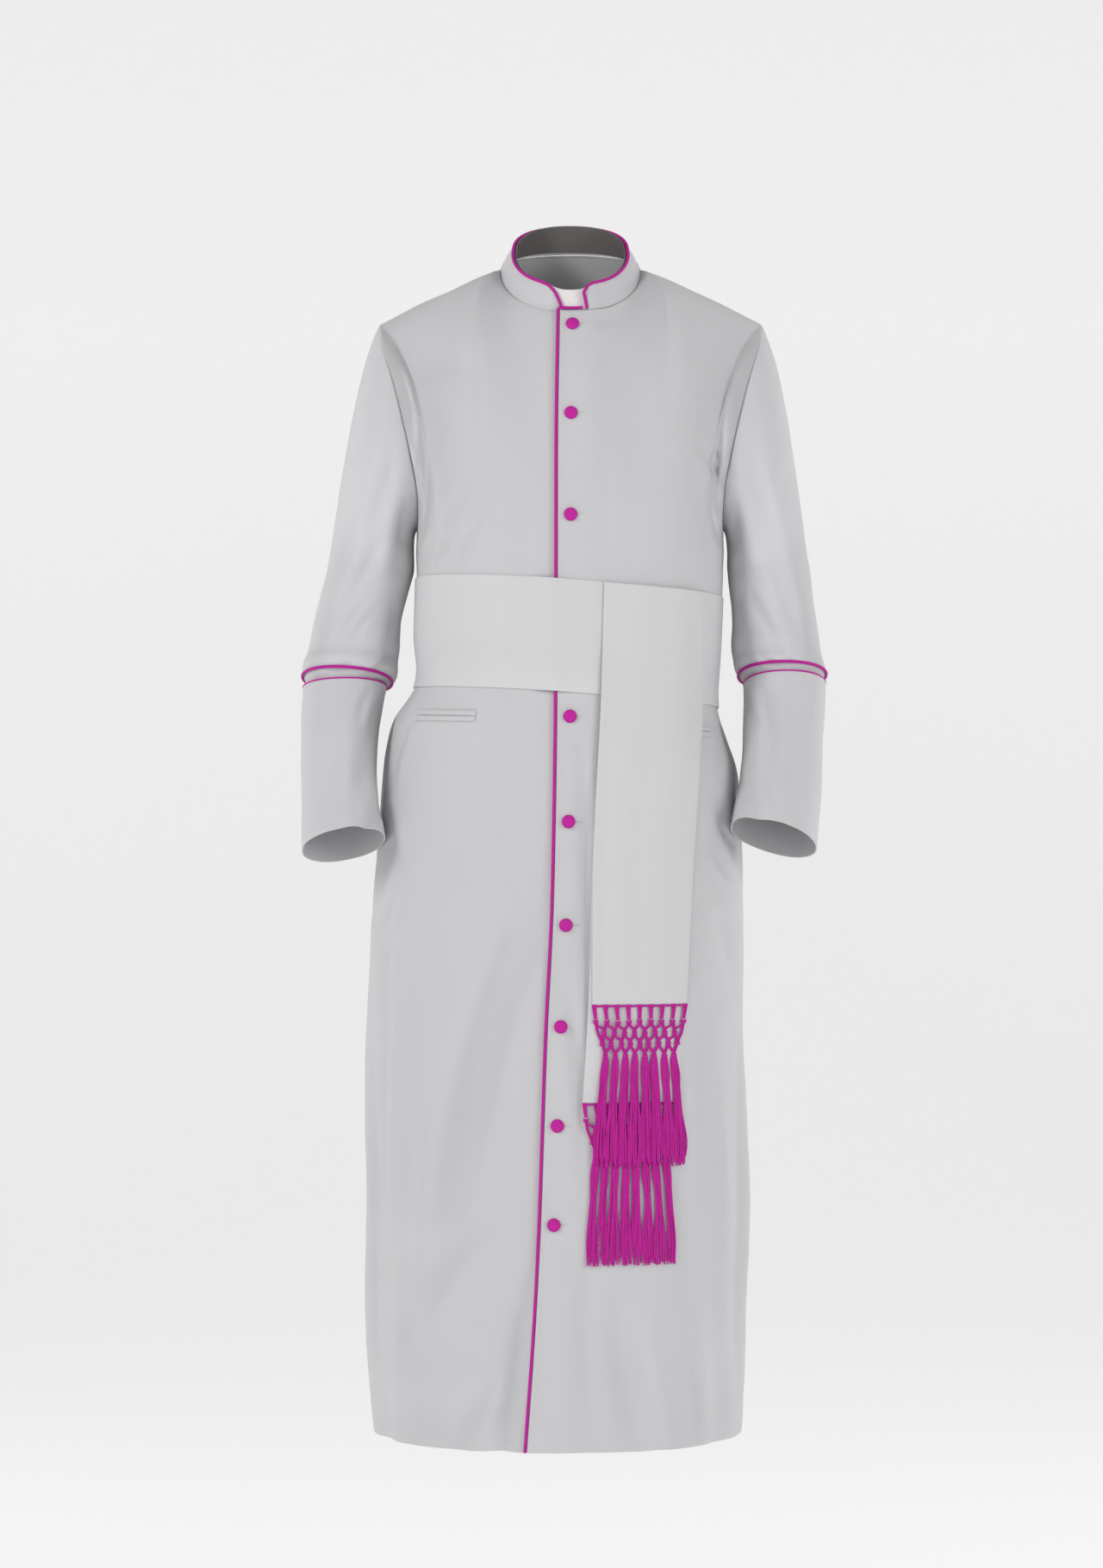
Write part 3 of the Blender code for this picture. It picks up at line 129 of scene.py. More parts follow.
ARMHOLE_BACK = [
    # station from the centre back, across, forward or back, height
    (TIP_STATION, 0.2326, 0.002, -0.0640),
    (63.0, 0.2290, 0.034, -0.0950),
    (66.0, 0.2190, 0.056, -0.1450),
    (69.5, 0.2070, 0.068, -0.2050),
    (74.0, 0.1945, 0.060, -0.2620),
    (81.0, 0.1880, 0.032, -0.3020),
    (90.0, 0.1865, -0.002, -0.3180),
]
FRONT_ARRIVALS = [
    # station, across, towards the seam, up: how the cloth arrives at the top edge
    (0.0, 0.00, 0.45, 0.90),
    (16.0, -0.04, 0.60, 0.80),
    (NECK_STATION, -0.55, 0.85, 0.12),
    (46.0, -0.05, 1.00, 0.10),
    (TIP_STATION, 0.50, 0.72, 0.45),
    (66.0, 0.68, 0.48, 0.55),
    (69.5, 0.64, 0.42, 0.62),
    (74.0, 0.45, 0.45, 0.77),
    (81.0, 0.10, 0.30, 0.95),
    (90.0, 0.00, 0.00, 1.00),
]
BACK_ARRIVALS = [
    # station from the centre back, across, towards the seam, up
    (0.0, 0.00, 0.45, 0.90),
    (16.0, -0.04, 0.66, 0.78),
    (24.0, -0.16, 0.92, 0.50),
    (NECK_STATION, -0.32, 1.20, 0.14),
    (39.0, -0.18, 1.14, 0.10),
    (46.0, -0.05, 1.02, 0.12),
    (TIP_STATION, 0.50, 0.72, 0.45),
    (66.0, 0.68, 0.48, 0.55),
    (69.5, 0.64, 0.42, 0.62),
    (74.0, 0.45, 0.45, 0.77),
    (81.0, 0.10, 0.30, 0.95),
    (90.0, 0.00, 0.00, 1.00),
]

# Front edge of the lapping front: height and distance from the centre plane
FRONT_EDGE = [
    # height, across
    (HEM, -0.0512),
    (-1.258, -0.0411),
    (-1.140, -0.0351),
    (-1.025, -0.0311),
    (-0.909, -0.0270),
    (-0.790, -0.0210),
    (-0.669, -0.0179),
    (-0.518, -0.0159),
    (-0.335, -0.0154),
    (-0.190, -0.0150),
    (-0.058, -0.0127),
]
BUTTON_FROM_EDGE = 0.0150
BUTTON_HEIGHTS = [-0.0762, -0.1841, -0.3051, -0.5484, -0.6693, -0.7897, -0.9088, -1.0246, -1.1400]
BUTTON_RADIUS = 0.0080
BUTTON_THICKNESS = 0.0050

# Folds: a path of three places, half width and depth in metres
FOLDS = [
    # top height, station, middle height, station, low height, station, half width, depth
    (-0.740, -14.0, -0.950, -34.0, -1.230, -47.0, 0.040, 0.0100),
    (-1.150, -18.5, -1.280, -20.5, HEM, -23.5, 0.023, 0.0085),
    (-0.980, -63.0, -1.200, -66.0, HEM, -68.0, 0.034, 0.0060),
    (-1.180, 13.0, -1.300, 18.0, HEM, 23.0, 0.045, 0.0065),
    (-0.760, 62.0, -1.050, 58.0, HEM, 55.0, 0.040, 0.0060),
    (-0.900, 92.0, -1.150, 96.0, HEM, 99.0, 0.038, 0.0085),
    (-0.620, 118.0, -0.950, 122.0, HEM, 125.0, 0.042, 0.0130),
    (-0.560, 146.0, -0.920, 146.0, HEM, 148.0, 0.040, 0.0150),
    (-0.560, 171.0, -0.950, 170.0, HEM, 169.0, 0.040, 0.0160),
    (-0.560, 194.0, -0.900, 193.0, HEM, 192.0, 0.038, 0.0130),
    (-0.600, 219.0, -0.950, 217.0, HEM, 214.0, 0.042, 0.0145),
    (-0.650, 243.0, -1.000, 241.0, HEM, 238.0, 0.038, 0.0110),
    (-0.820, 265.0, -1.100, 262.0, HEM, 261.0, 0.040, 0.0085),
]

# Sleeves and cuffs: centre of each ring, half width and depth, lift of the outer
# edge and of the front edge
RIGHT_SLEEVE = [
    # height, across, forward or back, half width, half depth, outer lift, front lift
    (-0.3650, 0.2435, 0.003, 0.0525, 0.0630, 0.003, 0.000),
    (-0.4200, 0.2575, 0.004, 0.0520, 0.0610, 0.003, 0.004),
    (-0.4664, 0.2640, 0.003, 0.0545, 0.0585, 0.004, 0.010),
    (-0.4970, 0.2712, -0.003, 0.0530, 0.0560, 0.003, 0.014),
    (-0.5025, 0.2730, -0.0055, 0.0476, 0.0508, 0.000, 0.0110),
    (-0.5230, 0.2752, -0.0135, 0.0466, 0.0500, -0.001, 0.0118),
]
LEFT_SLEEVE = [
    # height, across, forward or back, half width, half depth, outer lift, front lift
    (-0.3650, 0.2412, 0.003, 0.0500, 0.0620, 0.003, 0.000),
    (-0.4200, 0.2474, 0.004, 0.0510, 0.0610, 0.003, 0.004),
    (-0.4664, 0.2512, 0.003, 0.0540, 0.0585, 0.002, 0.010),
    (-0.4915, 0.2575, -0.002, 0.0520, 0.0560, 0.000, 0.0150),
    (-0.4980, 0.2596, -0.0052, 0.0468, 0.0508, 0.000, 0.0155),
    (-0.5190, 0.2594, -0.0135, 0.0460, 0.0500, -0.001, 0.0158),
]
RIGHT_CUFF = [
    # height, across, forward or back, half width, half depth, outer lift, front lift
    (-0.5070, 0.2740, -0.007, 0.0508, 0.0545, -0.001, 0.0105),
    (-0.5600, 0.2782, -0.030, 0.0475, 0.0525, -0.002, 0.0150),
    (-0.6236, 0.2784, -0.058, 0.0455, 0.0500, -0.005, 0.0180),
    (-0.6956, 0.2715, -0.090, 0.0499, 0.0500, -0.0088, 0.0200),
]
LEFT_CUFF = [
    # height, across, forward or back, half width, half depth, outer lift, front lift
    (-0.5030, 0.2600, -0.007, 0.0500, 0.0545, 0.000, 0.0155),
    (-0.5600, 0.2572, -0.030, 0.0488, 0.0525, -0.004, 0.0170),
    (-0.6236, 0.2524, -0.058, 0.0490, 0.0505, -0.009, 0.0190),
    (-0.6873, 0.2425, -0.090, 0.0515, 0.0505, -0.014, 0.0200),
]
SLEEVE_SQUARENESS = 2.15
ARM_DIRECTION = (0.18, 0.0, -1.0)
UNDER_ARM_WAY = (1.0, 0.0, -0.2)
CAP_LEAVING = [
    # angle round the armhole from the shoulder tip, across, forward or back, up
    (0.0, 0.100, 0.000, -0.200),
    (45.0, 0.105, -0.045, -0.105),
    (90.0, 0.080, -0.035, -0.045),
    (135.0, 0.045, -0.020, -0.020),
    (180.0, 0.020, 0.000, -0.004),
    (225.0, 0.050, 0.010, -0.018),
    (270.0, 0.088, 0.022, -0.040),
    (315.0, 0.105, 0.045, -0.105),
    (360.0, 0.100, 0.000, -0.200),
]
CUFF_PIPING_RISE = 0.0008

# Collar: the loop of its top edge, and its height towards the two front ends
COLLAR_TOP_SIDE = 0.0712
COLLAR_TOP_FRONT = 0.078
COLLAR_TOP_BACK = 0.062
COLLAR_TOP_MIDDLE = -0.015
COLLAR_TOP_HEIGHT = 0.0315
COLLAR_TOP_SLOPE_FRONT = 0.75
COLLAR_TOP_SLOPE_BACK = 0.45
COLLAR_BULGE = 0.0008
COLLAR_RIGHT_END = -0.0127
COLLAR_LEFT_END = 0.0213
COLLAR_RIGHT_SHAPE = [
    # distance from the end, share of the full height
    (0.0, 0.10),
    (0.003, 0.32),
    (0.009, 0.64),
    (0.0175, 0.88),
    (0.032, 1.0),
]
COLLAR_LEFT_SHAPE = [
    # distance from the end, share of the full height
    (0.0, 0.70),
    (0.0025, 0.84),
    (0.008, 0.94),
    (0.020, 1.0),
]
BAND_DEPTH = 0.0030
BAND_RISE = 1.15
BAND_FOOT = 0.12
TAB_HALF_WIDTH = 0.0330
TAB_TOP_MIDDLE = 0.91
TAB_TOP_ENDS = 1.10
TAB_FOOT = -0.24
BAND_FROM_TAB = 0.5

# Piping
PIPING = 0.0019
PIPING_FROM_EDGE = 0.0025
PIPING_BEND = 0.0037
PIPING_TOP_LEVEL = 1.985
NOTCH_PIPING_START = 0.0013
NOTCH_PIPING_SHORT = 0.0068
COLLAR_PIPING_DEPTH = 0.0004
COLLAR_PIPING_LAST = 0.55
COLLAR_PIPING_START = 0.85
FINE_PIPING = 0.0011
SLEEVE_PIPING_HEIGHTS = {"left": -0.4915, "right": -0.4970}

# Sash
SASH_GAP = 0.0005
SASH_CLEAR_OF_PIPING = 0.0052
PIPING_REACH = 0.0055
SASH_SLOPE = 0.13
SASH_EASE_REACH = 0.03
FRONT_TAIL_FOOT = -0.8830
REAR_TAIL_FOOT = -0.9978
REAR_TAIL_TOP = -0.5212
FRONT_TAIL_EDGES = [
    # height, -X edge, +X edge
    (FRONT_TAIL_FOOT, 0.0246, 0.1347),
    (-0.7140, 0.0257, 0.1434),
    (-0.5200, 0.0349, 0.1528),
    (-0.3865, 0.0390, 0.1560),
]
REAR_TAIL_EDGES = [
    # height, -X edge, +X edge
    (REAR_TAIL_FOOT, 0.0134, 0.1260),
    (-0.8850, 0.0200, 0.1310),
    (-0.7140, 0.0250, 0.1400),
    (-0.5200, 0.0380, 0.1500),
]
FRONT_TAIL_LIFT = [
    # height, gap to the front under it: rear tail and sash lie between
    (FRONT_TAIL_FOOT, 0.0034),
    (-0.7100, 0.0034),
    (-0.6500, 0.0042),
    (-0.6000, 0.0053),
    (SASH_BOTTOM, 0.0053),
    (SASH_MIDDLE, 0.0032),
    (SASH_TOP, 0.0030),
]
REAR_TAIL_LIFT = [
    # height, gap to the front under it: a pocket's lips lie between
    (REAR_TAIL_FOOT, 0.0010),
    (-0.7100, 0.0010),
    (-0.6500, 0.0017),
    (-0.6000, 0.0028),
    (SASH_BOTTOM, 0.0028),
]

# Fringe: a knotted net that ends in strands, in millimetres across and down
FRINGE_LENGTH = 190.0
KNOT_ROWS = [
    # down, knots in the row, share of the tail's width that the net keeps
    (20.0, 9, 0.97),
    (33.0, 8, 0.88),
    (46.0, 9, 0.83),
    (60.0, 8, 0.86),
]
KNOT_HALF_WIDTH = 2.6
NET_SPREAD = 1.02
STRAND_UNEVENNESS = 0.06
STRANDS = 17

# Radii of the cords of the net and of its parts, in metres
STRIP_CORD = 0.0012
HEAD_CORD = 0.00105
NET_CORD = 0.00098
SIDE_CORD = 0.00095
KNOT_CORD = 0.00125
STRAND_CORD = 0.00094
THINNEST_STRAND = 0.0006
KNOT_SIZE = 2.7
FRINGES = [
    # node, edges of the tail, its foot, gap to the cloth, seed, spread of the bundles
    ("fringe_front", FRONT_TAIL_EDGES, FRONT_TAIL_FOOT, 0.0037, 11, 0.93),
    ("fringe_rear", REAR_TAIL_EDGES, REAR_TAIL_FOOT, 0.0010, 23, 0.80),
]

# Pockets: stations of the slit's ends, its height and the size of one lip
POCKET_STATIONS = (39.0, 63.0)
POCKET_HEIGHT = -0.5535
LIP = 0.0062
LIP_LIFT = 0.0007
LIP_COLUMNS = 36

# Stitches: from one to the next, length of each, and radius of its thread
SEAM_STITCH = (0.0030, 0.0022, 0.00028)
BUTTONHOLE_STITCH = (0.0007, 0.0006, 0.00030)
STITCH_FROM_EDGE = 0.0048
STITCH_FROM_LIP = 0.0020
BUTTONHOLE_REACH = (0.0060, 0.0165)
BUTTONHOLE_HALF_HEIGHT = 0.00055


# Camera, floor and backdrop
CAMERA_PLACE = (-0.023, -5.0, -0.6236)
CAMERA_LENS = 94.37
SENSOR_HEIGHT = 36.0
FLOOR_HEIGHT = -2.10
BACKDROP_RADIUS = 9.0
BACKDROP_BEND = 3.0
BACKDROP_HEIGHT = 5.2
BACKDROP_GLOW = 0.52
WORLD_STRENGTH = 0.25
LIGHTS = [
    # name, place, what it points at, size, watts
    ("key", (-3.2, -2.6, 1.7), (0, 0, -0.6), 1.2, 80),
    ("fill", (3.6, -2.6, 0.6), (0, 0, -0.8), 1.5, 50),
    ("front", (0.2, -6.5, 0.4), (0, 0, -0.7), 2.0, 5),
    ("rear_key", (3.4, 3.0, 1.6), (0, 0, -0.7), 1.8, 62),
    ("rear_fill", (-3.4, 3.2, 0.8), (0, 0, -0.7), 1.8, 34),
]

# Colours, linear
# each light and shade pair below is mixed by random tone and by painted shade in the grooves of its
# weave or twist
CLOTH_LIGHT = (0.722, 0.716, 0.729)
CLOTH_SHADE = (0.669, 0.667, 0.690)
SASH_LIGHT = (0.735, 0.730, 0.744)
SASH_SHADE = (0.693, 0.688, 0.702)
TRIM_LIGHT = (0.62, 0.012, 0.385)
TRIM_SHADE = (0.45, 0.008, 0.27)
FRINGE_LIGHT = (0.80, 0.024, 0.49)
FRINGE_SHADE = (0.38, 0.010, 0.22)
BAND_LIGHT = (0.19, 0.175, 0.17)
BAND_SHADE = (0.12, 0.11, 0.11)
TAB_COLOUR = (0.86, 0.83, 0.82)
BACKDROP_COLOUR = (0.52, 0.52, 0.52)

# Meshes of the cloth: length of a face, wall of the shells, pressed seams and hem
STEP = 0.0042
BACK_STEP = 0.0050
SHELL = 0.0014
COLLAR_SHELL = 0.0018
SASH_SHELL = 0.0012
TAIL_SHELL = 0.0011
LIP_SHELL = 0.0007
SEAM_DIP = 0.0009
SEAM_SPREAD = 0.0016
NEAR_EDGE = np.array([0.0, 0.0006, 0.0013, 0.0022, 0.0034, 0.0052])
HEM_FOLD = 0.038
HEM_STEP = 0.0005
HEM_EDGE = 0.004
YOKE_REACH = 0.30
BODY_RADIUS = 0.2
CAP_LENGTH = 0.20
SLEEVE_GIRTH = 0.36
CUFF_GIRTH = 0.33
SASH_GIRTH = 1.0
COLLAR_HEIGHT = 0.030
COLLAR_TURN_STEP = 2.6
TWILL_PITCH = 0.0007
CREASE_SCALE = 3.2
STEEPEST_CREASE = 0.5
CREASE_REACH = 3.2

# Unevenness of the cloth: height of its waves, and the shortest and longest of them
BODY_WAVES = (0.0016, 0.05, 0.22)
ARM_WAVES = (0.0012, 0.035, 0.14)
COLLAR_WAVES = (0.0005, 0.03, 0.09)
SASH_WAVES = (0.0007, 0.05, 0.20)
TAIL_WAVES = (0.0006, 0.03, 0.16)

# Where the sash and its tails press the cloth flat: from, to, and the blur of the ends
UNDER_SASH = (-0.560, -0.358, 0.022)
UNDER_TAILS = (0.000, 0.165, 0.012)
BAND_UNDER_TAIL = (0.030, 0.162, 0.006)
TAILS_FOOT = -1.21

# Creases drawn on the face that shows them: a path of three places, half width and
# depth, all in metres. A negative depth is a ridge. Bank is the share of the depth by
# which the cloth beside the crease stands out.
FRONT_CREASES = [
    # across, height, across, height, across, height, half width, depth, bank
    # the long pull from the front edge down to the side, and its neighbours
    (-0.043, -0.756, -0.108, -0.930, -0.166, -1.165, 0.024, 0.0056, 0.30),
    (-0.026, -0.690, -0.070, -0.850, -0.118, -1.060, 0.034, 0.0022, 0.0),
    (-0.104, -1.122, -0.170, -1.220, -0.200, -1.290, 0.017, 0.0026, 0.3),
    (-0.089, -1.310, -0.118, -1.360, -0.143, -1.410, 0.014, 0.0030, 0.3),
    (-0.048, -1.180, -0.062, -1.310, -0.076, -1.410, 0.013, 0.0044, 0.2),
    (-0.190, -0.980, -0.199, -1.160, -0.203, -1.330, 0.018, 0.0022, 0.3),
    # left side edge of the skirt
    (-0.214, -0.740, -0.222, -0.950, -0.226, -1.250, 0.007, 0.0028, 0.4),
    (-0.224, -0.600, -0.236, -0.760, -0.230, -0.900, 0.012, -0.0022, 0.0),
    (-0.214, -0.690, -0.222, -0.740, -0.234, -0.790, 0.006, 0.0026, 0.5),
    (-0.204, -0.720, -0.214, -0.768, -0.228, -0.812, 0.005, 0.0020, 0.5),
    (-0.197, -0.752, -0.206, -0.800, -0.221, -0.840, 0.005, 0.0016, 0.5),
    (-0.190, -0.540, -0.206, -0.580, -0.220, -0.640, 0.007, 0.0022, 0.4),
    # between the buttons and the tails
    (0.013, -0.560, 0.017, -0.720, 0.020, -0.990, 0.009, 0.0030, 0.0),
    (-0.006, -0.860, 0.008, -0.950, 0.013, -1.090, 0.010, 0.0018, 0.0),
    # right side of the skirt
    (0.166, -0.620, 0.186, -0.680, 0.204, -0.700, 0.009, 0.0028, 0.4),
    (0.160, -0.668, 0.182, -0.720, 0.206, -0.742, 0.008, 0.0032, 0.4),
    (0.164, -0.718, 0.184, -0.765, 0.206, -0.790, 0.008, 0.0024, 0.4),
    (0.170, -0.775, 0.188, -0.820, 0.203, -0.900, 0.010, 0.0018, 0.3),
    (0.150, -0.860, 0.156, -1.060, 0.160, -1.290, 0.020, 0.0026, 0.3),
    (0.190, -0.900, 0.197, -1.100, 0.196, -1.340, 0.011, 0.0022, 0.4),
    (0.048, -1.225, 0.066, -1.320, 0.088, -1.412, 0.021, 0.0040, 0.3),
    (0.012, -1.180, 0.020, -1.300, 0.026, -1.412, 0.020, 0.0022, 0.2),
    (0.138, -1.280, 0.146, -1.350, 0.150, -1.412, 0.010, 0.0020, 0.4),
    # chest
    (-0.118, -0.262, -0.142, -0.298, -0.158, -0.352, 0.0085, 0.0042, 0.25),
    (-0.132, -0.308, -0.152, -0.336, -0.170, -0.368, 0.0070, 0.0032, 0.25),
    (-0.162, -0.316, -0.172, -0.346, -0.180, -0.374, 0.0060, 0.0034, 0.2),
    (-0.104, -0.300, -0.124, -0.338, -0.138, -0.372, 0.0075, 0.0020, 0.2),
    (0.152, -0.212, 0.170, -0.240, 0.186, -0.262, 0.0075, 0.0034, 0.3),
    (0.160, -0.258, 0.172, -0.296, 0.180, -0.342, 0.0080, 0.0034, 0.2),
    (0.144, -0.236, 0.158, -0.292, 0.164, -0.352, 0.0110, 0.0016, 0.2),
    (0.030, -0.072, 0.046, -0.068, 0.062, -0.056, 0.0080, 0.0018, 0.0),
    (0.056, -0.110, 0.074, -0.180, 0.086, -0.300, 0.0280, 0.0016, 0.0),
    (-0.060, -0.060, -0.084, -0.130, -0.098, -0.240, 0.0320, 0.0018, 0.0),
    (-0.204, -0.130, -0.150, -0.122, -0.104, -0.132, 0.0200, 0.0010, 0.0),
]
BACK_CREASES = [
    # across, height, across, height, across, height, half width, depth, bank
    # pulls from the armholes and over the shoulder blades
    (-0.176, -0.232, -0.128, -0.252, -0.082, -0.292, 0.0110, 0.0034, 0.3),
    (-0.170, -0.286, -0.122, -0.312, -0.070, -0.330, 0.0090, 0.0030, 0.3),
    (0.178, -0.226, 0.132, -0.254, 0.092, -0.300, 0.0110, 0.0032, 0.3),
    (0.172, -0.280, 0.118, -0.318, 0.084, -0.350, 0.0085, 0.0030, 0.3),
    (-0.108, -0.120, -0.090, -0.200, -0.060, -0.300, 0.0260, 0.0022, 0.0),
    (0.104, -0.126, 0.086, -0.214, 0.064, -0.320, 0.0280, 0.0020, 0.0),
    (-0.030, -0.060, 0.000, -0.074, 0.032, -0.058, 0.0110, 0.0020, 0.0),
    (-0.020, -0.250, -0.014, -0.310, -0.018, -0.374, 0.0120, 0.0026, 0.3),
    (0.030, -0.270, 0.034, -0.322, 0.028, -0.376, 0.0100, 0.0024, 0.3),
    (-0.128, -0.318, -0.118, -0.350, -0.112, -0.378, 0.0080, 0.0030, 0.3),
    (0.124, -0.316, 0.116, -0.350, 0.112, -0.378, 0.0085, 0.0028, 0.3),
    # gathers under the sash
    (-0.150, -0.532, -0.156, -0.600, -0.166, -0.760, 0.0120, 0.0040, 0.4),
    (-0.112, -0.532, -0.116, -0.620, -0.128, -0.900, 0.0130, 0.0044, 0.4),
    (-0.020, -0.532, -0.022, -0.640, -0.030, -0.980, 0.0140, 0.0040, 0.4),
    (0.044, -0.532, 0.046, -0.610, 0.052, -0.820, 0.0110, 0.0042, 0.4),
    (0.092, -0.532, 0.100, -0.640, 0.112, -0.960, 0.0130, 0.0044, 0.4),
    (0.148, -0.532, 0.156, -0.590, 0.170, -0.720, 0.0110, 0.0034, 0.4),
    (-0.176, -0.900, -0.186, -1.120, -0.196, -1.380, 0.0140, 0.0034, 0.3),
    (0.150, -0.930, 0.160, -1.140, 0.168, -1.380, 0.0150, 0.0034, 0.3),
    (-0.070, -1.060, -0.080, -1.220, -0.086, -1.400, 0.0150, 0.0030, 0.3),
    (0.016, -1.090, 0.020, -1.240, 0.028, -1.400, 0.0140, 0.0028, 0.3),
]
SIDE_CREASES = [
    # forward or back, height, and so on: shown from either side
    (0.020, -0.545, 0.030, -0.640, 0.048, -0.860, 0.0110, 0.0036, 0.3),
    (-0.030, -0.540, -0.034, -0.620, -0.030, -0.760, 0.0100, 0.0030, 0.3),
    (0.070, -0.600, 0.090, -0.760, 0.110, -1.000, 0.0140, 0.0032, 0.3),
    (-0.060, -0.900, -0.070, -1.120, -0.078, -1.360, 0.0160, 0.0030, 0.3),
    (0.030, -1.000, 0.040, -1.180, 0.052, -1.390, 0.0140, 0.0030, 0.3),
    (0.150, -1.050, 0.170, -1.200, 0.190, -1.390, 0.0140, 0.0026, 0.3),
]
SLEEVE_CREASES_FRONT = {
    # across from the centre, height: -1 is the sleeve at -X, 1 the one at +X
    -1: [
        (0.238, -0.388, 0.262, -0.424, 0.288, -0.462, 0.0060, 0.0040, 0.35),
        (0.236, -0.412, 0.254, -0.436, 0.274, -0.462, 0.0050, 0.0026, 0.35),
        (0.226, -0.330, 0.250, -0.372, 0.276, -0.420, 0.0100, 0.0026, 0.30),
        (0.212, -0.462, 0.224, -0.478, 0.242, -0.496, 0.0050, 0.0036, 0.35),
        (0.206, -0.438, 0.216, -0.462, 0.230, -0.484, 0.0050, 0.0032, 0.35),
        (0.210, -0.404, 0.216, -0.440, 0.226, -0.470, 0.0070, 0.0028, 0.30),
        (0.224, -0.474, 0.236, -0.486, 0.252, -0.496, 0.0040, 0.0028, 0.35),
        (0.190, -0.260, 0.200, -0.320, 0.212, -0.380, 0.0110, 0.0040, 0.25),
        (0.200, -0.196, 0.222, -0.262, 0.244, -0.330, 0.0150, 0.0022, 0.20),
        (0.262, -0.476, 0.276, -0.484, 0.296, -0.486, 0.0050, 0.0014, 0.30),
    ],
    1: [
        (0.214, -0.390, 0.236, -0.430, 0.262, -0.470, 0.0070, 0.0034, 0.35),
        (0.198, -0.456, 0.212, -0.472, 0.232, -0.486, 0.0050, 0.0036, 0.35),
        (0.196, -0.426, 0.206, -0.452, 0.222, -0.474, 0.0055, 0.0034, 0.35),
        (0.200, -0.392, 0.206, -0.430, 0.216, -0.462, 0.0070, 0.0028, 0.30),
        (0.226, -0.462, 0.240, -0.476, 0.258, -0.482, 0.0045, 0.0030, 0.35),
        (0.246, -0.452, 0.258, -0.470, 0.272, -0.482, 0.0045, 0.0024, 0.35),
        (0.186, -0.250, 0.194, -0.310, 0.204, -0.376, 0.0120, 0.0042, 0.25),
        (0.196, -0.190, 0.214, -0.260, 0.236, -0.340, 0.0150, 0.0024, 0.20),
        (0.232, -0.330, 0.256, -0.392, 0.276, -0.446, 0.0110, 0.0020, 0.25),
    ],
}
SLEEVE_CREASES_BACK = [
    # across from the centre, height
    (0.196, -0.240, 0.206, -0.310, 0.216, -0.376, 0.0120, 0.0040, 0.25),
    (0.222, -0.180, 0.236, -0.260, 0.246, -0.350, 0.0160, 0.0022, 0.20),
    (0.206, -0.420, 0.232, -0.446, 0.262, -0.452, 0.0070, 0.0034, 0.35),
    (0.212, -0.456, 0.236, -0.474, 0.266, -0.478, 0.0060, 0.0032, 0.35),
    (0.240, -0.390, 0.262, -0.414, 0.284, -0.422, 0.0070, 0.0026, 0.30),
    (0.220, -0.482, 0.244, -0.494, 0.276, -0.492, 0.0045, 0.0022, 0.30),
]
CUFF_CREASES = {
    # across from the centre, height
    -1: [
        (0.262, -0.512, 0.266, -0.600, 0.262, -0.690, 0.0060, -0.0016, 0.0),
        (0.224, -0.520, 0.240, -0.566, 0.250, -0.640, 0.0110, 0.0022, 0.2),
        (0.222, -0.502, 0.232, -0.532, 0.236, -0.566, 0.0060, 0.0026, 0.3),
        (0.226, -0.640, 0.238, -0.668, 0.262, -0.700, 0.0090, 0.0016, 0.2),
        (0.240, -0.508, 0.250, -0.530, 0.254, -0.556, 0.0060, 0.0014, 0.2),
    ],
    1: [
        (0.258, -0.506, 0.256, -0.590, 0.250, -0.680, 0.0060, -0.0016, 0.0),
        (0.236, -0.500, 0.238, -0.556, 0.236, -0.640, 0.0100, 0.0018, 0.2),
        (0.206, -0.500, 0.214, -0.530, 0.222, -0.560, 0.0060, 0.0024, 0.3),
        (0.226, -0.500, 0.232, -0.524, 0.236, -0.552, 0.0050, 0.0014, 0.2),
        (0.204, -0.612, 0.216, -0.650, 0.240, -0.684, 0.0090, 0.0016, 0.2),
    ],
}
SASH_CREASES = [
    # across, height, across, height, across, height, half width, depth, bank
    (-0.178, -0.402, -0.120, -0.398, -0.050, -0.404, 0.0050, 0.0006, 0.5),
    (-0.176, -0.470, -0.110, -0.466, -0.030, -0.474, 0.0080, 0.0006, 0.5),
    (-0.180, -0.500, -0.140, -0.494, -0.090, -0.500, 0.0050, 0.0006, 0.5),
    (0.150, -0.420, 0.166, -0.430, 0.184, -0.424, 0.0050, 0.0007, 0.6),
    (0.148, -0.486, 0.164, -0.494, 0.180, -0.490, 0.0050, 0.0007, 0.6),
    (0.000, -0.420, 0.020, -0.440, 0.034, -0.470, 0.0080, 0.0005, 0.5),
]


def add_camera():
    data = bpy.data.cameras.new("camera")
    data.lens = CAMERA_LENS
    data.sensor_fit = "VERTICAL"
    data.sensor_height = SENSOR_HEIGHT
    data.clip_end = 60.0
    camera = bpy.data.objects.new("camera", data)
    camera.location = CAMERA_PLACE
    camera.rotation_euler = (pi / 2, 0, 0)
    bpy.context.scene.collection.objects.link(camera)
    bpy.context.scene.camera = camera


add_camera()


class Smooth:
    """A smooth curve through a table's rows, read at places in its first column."""

    def __init__(self, rows):
        table = np.array(sorted(rows), dtype=float)
        self.keys = table[:, 0]
        self.values = table[:, 1:]
        self.slopes = np.gradient(self.values, self.keys, axis=0)

    def __call__(self, place):
        place = np.clip(np.asarray(place, dtype=float), self.keys[0], self.keys[-1])
        index = np.searchsorted(self.keys, place, side="right") - 1
        index = np.clip(index, 0, len(self.keys) - 2)
        span = (self.keys[index + 1] - self.keys[index])[..., None]
        share = (place - self.keys[index])[..., None] / span
        return hermite(self.values[index], self.slopes[index] * span,
                       self.values[index + 1], self.slopes[index + 1] * span, share)


